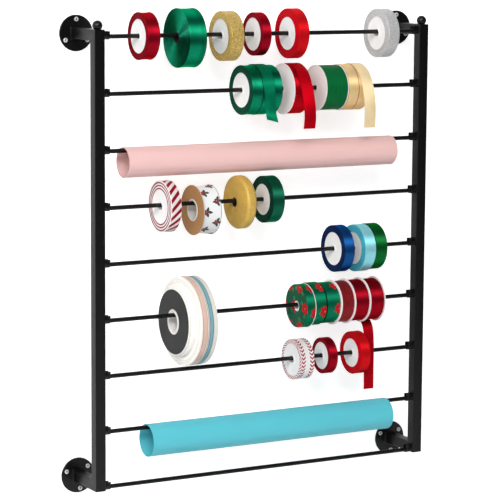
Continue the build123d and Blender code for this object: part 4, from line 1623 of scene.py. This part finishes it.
LOOSE_ENDS = [
    LooseEnd("green", "middle_green_satin", 0.6, 22.2, (48, 180), 2.2, [(51.0, -20), (54.5, -42), (62.0, -57)],
             EMERALD_TAIL_PAINTED_SHADE, "satin_emerald", slant=-7.0, gap=0.6),
    LooseEnd("red", "flanged_red_satin", 8.6, 25.0, (60, 112), 0.6,
             [(34.5, 35.6), (48.5, 17.5), (59.0, -4.0), (66.0, -28.0), (68.0, -50.0), (65.0, -70.0)],
             RED_TAIL_PAINTED_SHADE, "satin_red"),
    LooseEnd("cream", "right_cream_satin", 0.2, 24.4, (60, 112), 0.6,
             [(35.0, 31.0), (48.5, 13.0), (57.0, -8.0), (62.0, -32.0), (62.0, -54.0), (60.5, -73.0)],
             CREAM_TAIL_PAINTED_LIGHT, "satin_cream"),
    LooseEnd("claret", "tailed_satin", 7.8, 22.4, (10, -62), 0.0,
             [(-12.2, -40.6), (-6.2, -45.2), (-1.2, -50.7), (2.4, -57.8), (4.8, -68.0), (6.2, -88.0),
              (6.9, -122.0), (7.2, -175.5)],
             CLARET_TAIL_PAINTED_LIGHT, "satin_claret"),
]


# ---------------------------------------------------------------- stage, light and camera


# Each lamp's name, place, size and radiance
LAMPS = [
    ("key", (-1253, -3788, 2900), (1700, 1000), 15.0),
    ("high_front", (-454, -4426, 4885), (3000, 700), 5.0),
    ("left_side", (-3150, -2950, 2500), (2300, 2000), 7.6),
    ("far_left", (-3900, -900, 1850), (1500, 1500), 3.0),
]


@dataclass
class Studio:
    """A white wall behind the rack, a pale floor, soft lamps and the camera."""

    floor_z: float = -420.0
    wall_half: float = 1500.0
    wall_gap: float = 0.3
    head_room: float = 900.0
    floor_margin: float = 800.0
    floor_front: float = -3000.0
    floor_back: float = 1500.0
    albedo: float = 0.84
    lift: float = 0.66
    glossy_lift: float = 0.2
    ambient: float = 0.2
    frontal: float = 0.08
    reflected: float = 0.06
    camera_at: Point = (-1711.5, -3716.0, 1000.2)
    yaw: float = 29.1846
    pitch: float = 8.0423
    roll: float = 0.3816
    focal_pixels: float = 2248.5
    picture: int = 500
    sensor: float = 36.0

    def backdrop(self, name: str, corners: Sequence[Point], one_sided: bool) -> None:
        """A flat white sheet that stays white for the eye and keeps the rack's shadow."""
        mesh = bpy.data.meshes.new(name)
        mesh.from_pydata([tuple(c * MM for c in p) for p in corners], [], [tuple(range(len(corners)))])
        sheet = put(name, mesh)
        paint = bpy.data.materials.new(name)
        paint.use_nodes = True
        shader = Shader(paint.node_tree)
        camera, glossy = self.seen(shader)
        diffuse = shader.node("ShaderNodeBsdfDiffuse", {}, {"Color": (self.albedo,) * 3})
        strength = (camera + glossy * self.glossy_lift) * self.lift
        glow = shader.node("ShaderNodeEmission", {}, {"Color": (1, 1, 1), "Strength": strength})
        both = shader.node("ShaderNodeAddShader", {}, {0: diffuse, 1: glow})
        if one_sided:
            back = shader.node("ShaderNodeNewGeometry", {}, {}, "Backfacing")
            clear = shader.node("ShaderNodeBsdfTransparent", {}, {})
            both = shader.node("ShaderNodeMixShader", {}, {0: back, 1: both, 2: clear})
        shader.output("ShaderNodeOutputMaterial", both)
        mesh.materials.append(paint)

    @staticmethod
    def seen(shader: Shader) -> Tuple[Link, Link]:
        """1 for what the eye sees directly, and 1 for what it sees in a gloss or through glass."""
        rays = [shader.node("ShaderNodeLightPath", {}, {}, name)
                for name in ("Is Camera Ray", "Is Glossy Ray", "Is Transmission Ray")]
        return rays[0], rays[1].greater(rays[2]) * (1.0 - rays[0])

    def world(self) -> None:
        """Pale light from everywhere, more from the front, and white to the eye."""
        world = bpy.context.scene.world or bpy.data.worlds.new("studio")
        bpy.context.scene.world = world
        world.use_nodes = True
        shader = Shader(world.node_tree)
        camera, glossy = self.seen(shader)
        way = shader.node("ShaderNodeTexCoord", {}, {}, "Generated")
        dot = {"operation": "DOT_PRODUCT"}
        ahead = shader.node("ShaderNodeVectorMath", dot, {0: way, 1: (-0.2, -0.95, 0.24)}, "Value")
        behind = shader.node("ShaderNodeVectorMath", dot, {0: way, 1: (0.0, 1.0, 0.0)}, "Value")
        gloss = self.reflected + (1.0 - self.reflected) * behind.step(-0.1, 0.3)
        soft = self.ambient + self.frontal * ahead.step(0.55, 0.95)
        strength = camera + (1.0 - camera) * (glossy * gloss + (1.0 - glossy) * soft)
        sky = shader.node("ShaderNodeBackground", {}, {"Color": (1, 1, 1), "Strength": strength})
        shader.output("ShaderNodeOutputWorld", sky)

    def lamp(self, name: str, at: Point, size: Tuple[float, float], radiance: float) -> None:
        """A rectangular soft lamp aimed at the middle of the rack."""
        light = bpy.data.lights.new(name, "AREA")
        light.shape, light.size, light.size_y = "RECTANGLE", size[0] * MM, size[1] * MM
        light.energy = radiance * math.pi * light.size * light.size_y
        made = put(name, light)
        made.location = [c * MM for c in at]
        aim = Vector((RACK_WIDTH / 2, ROD_Y, RACK_HEIGHT / 2)) * MM - made.location
        made.rotation_mode = "QUATERNION"
        made.rotation_quaternion = aim.to_track_quat("-Z", "Y")

    def camera(self) -> None:
        """The camera at the photograph's place."""
        data = bpy.data.cameras.new("camera")
        data.sensor_width = self.sensor
        data.lens = self.focal_pixels / self.picture * self.sensor
        yaw, pitch, roll = (math.radians(a) for a in (self.yaw, self.pitch, self.roll))
        ahead = Vector((math.sin(yaw) * math.cos(pitch), math.cos(yaw) * math.cos(pitch), -math.sin(pitch)))
        right = Vector((math.cos(yaw), -math.sin(yaw), 0))
        up = right.cross(ahead)
        r2 = right * math.cos(roll) + up * math.sin(roll)
        u2 = up * math.cos(roll) - right * math.sin(roll)
        made = put("camera", data)
        turn = Matrix((r2, u2, -ahead)).transposed().to_4x4()
        made.matrix_world = Matrix.Translation(Vector(self.camera_at) * MM) @ turn
        data.clip_end = 100.0
        bpy.context.scene.camera = made

    def build(self) -> None:
        """Set up everything round the rack."""
        left, right, top = MIDDLE_X - self.wall_half, MIDDLE_X + self.wall_half, RACK_HEIGHT + self.head_room
        self.backdrop("studio_wall", [(x, self.wall_gap, z) for x, z in (
            (left, self.floor_z), (right, self.floor_z), (right, top), (left, top))], True)
        left, right = left - self.floor_margin, right + self.floor_margin
        self.backdrop("studio_floor", [(x, y, self.floor_z) for x, y in (
            (left, self.floor_front), (right, self.floor_front), (right, self.floor_back),
            (left, self.floor_back))], False)
        self.world()
        for lamp in LAMPS:
            self.lamp(*lamp)
        self.camera()
        bpy.context.scene.view_settings.view_transform = "Standard"


def main() -> None:
    """Build every sub-assembly in order."""
    logging.basicConfig(level=logging.INFO, format="%(name)s: %(message)s")
    for assembly in (Studio(), SideFrame("left", 0.0), SideFrame("right", RACK_WIDTH), WallFixings(), Finials(),
                     Cradles("left", INNER_LEFT, 1), Cradles("right", INNER_RIGHT, -1), Rods(),
                     *SPOOLS, *NARROW_REELS, CardDisc(), *PAPER_ROLLS, *LOOSE_ENDS):
        assembly.build()


if __name__ == "__main__":
    main()
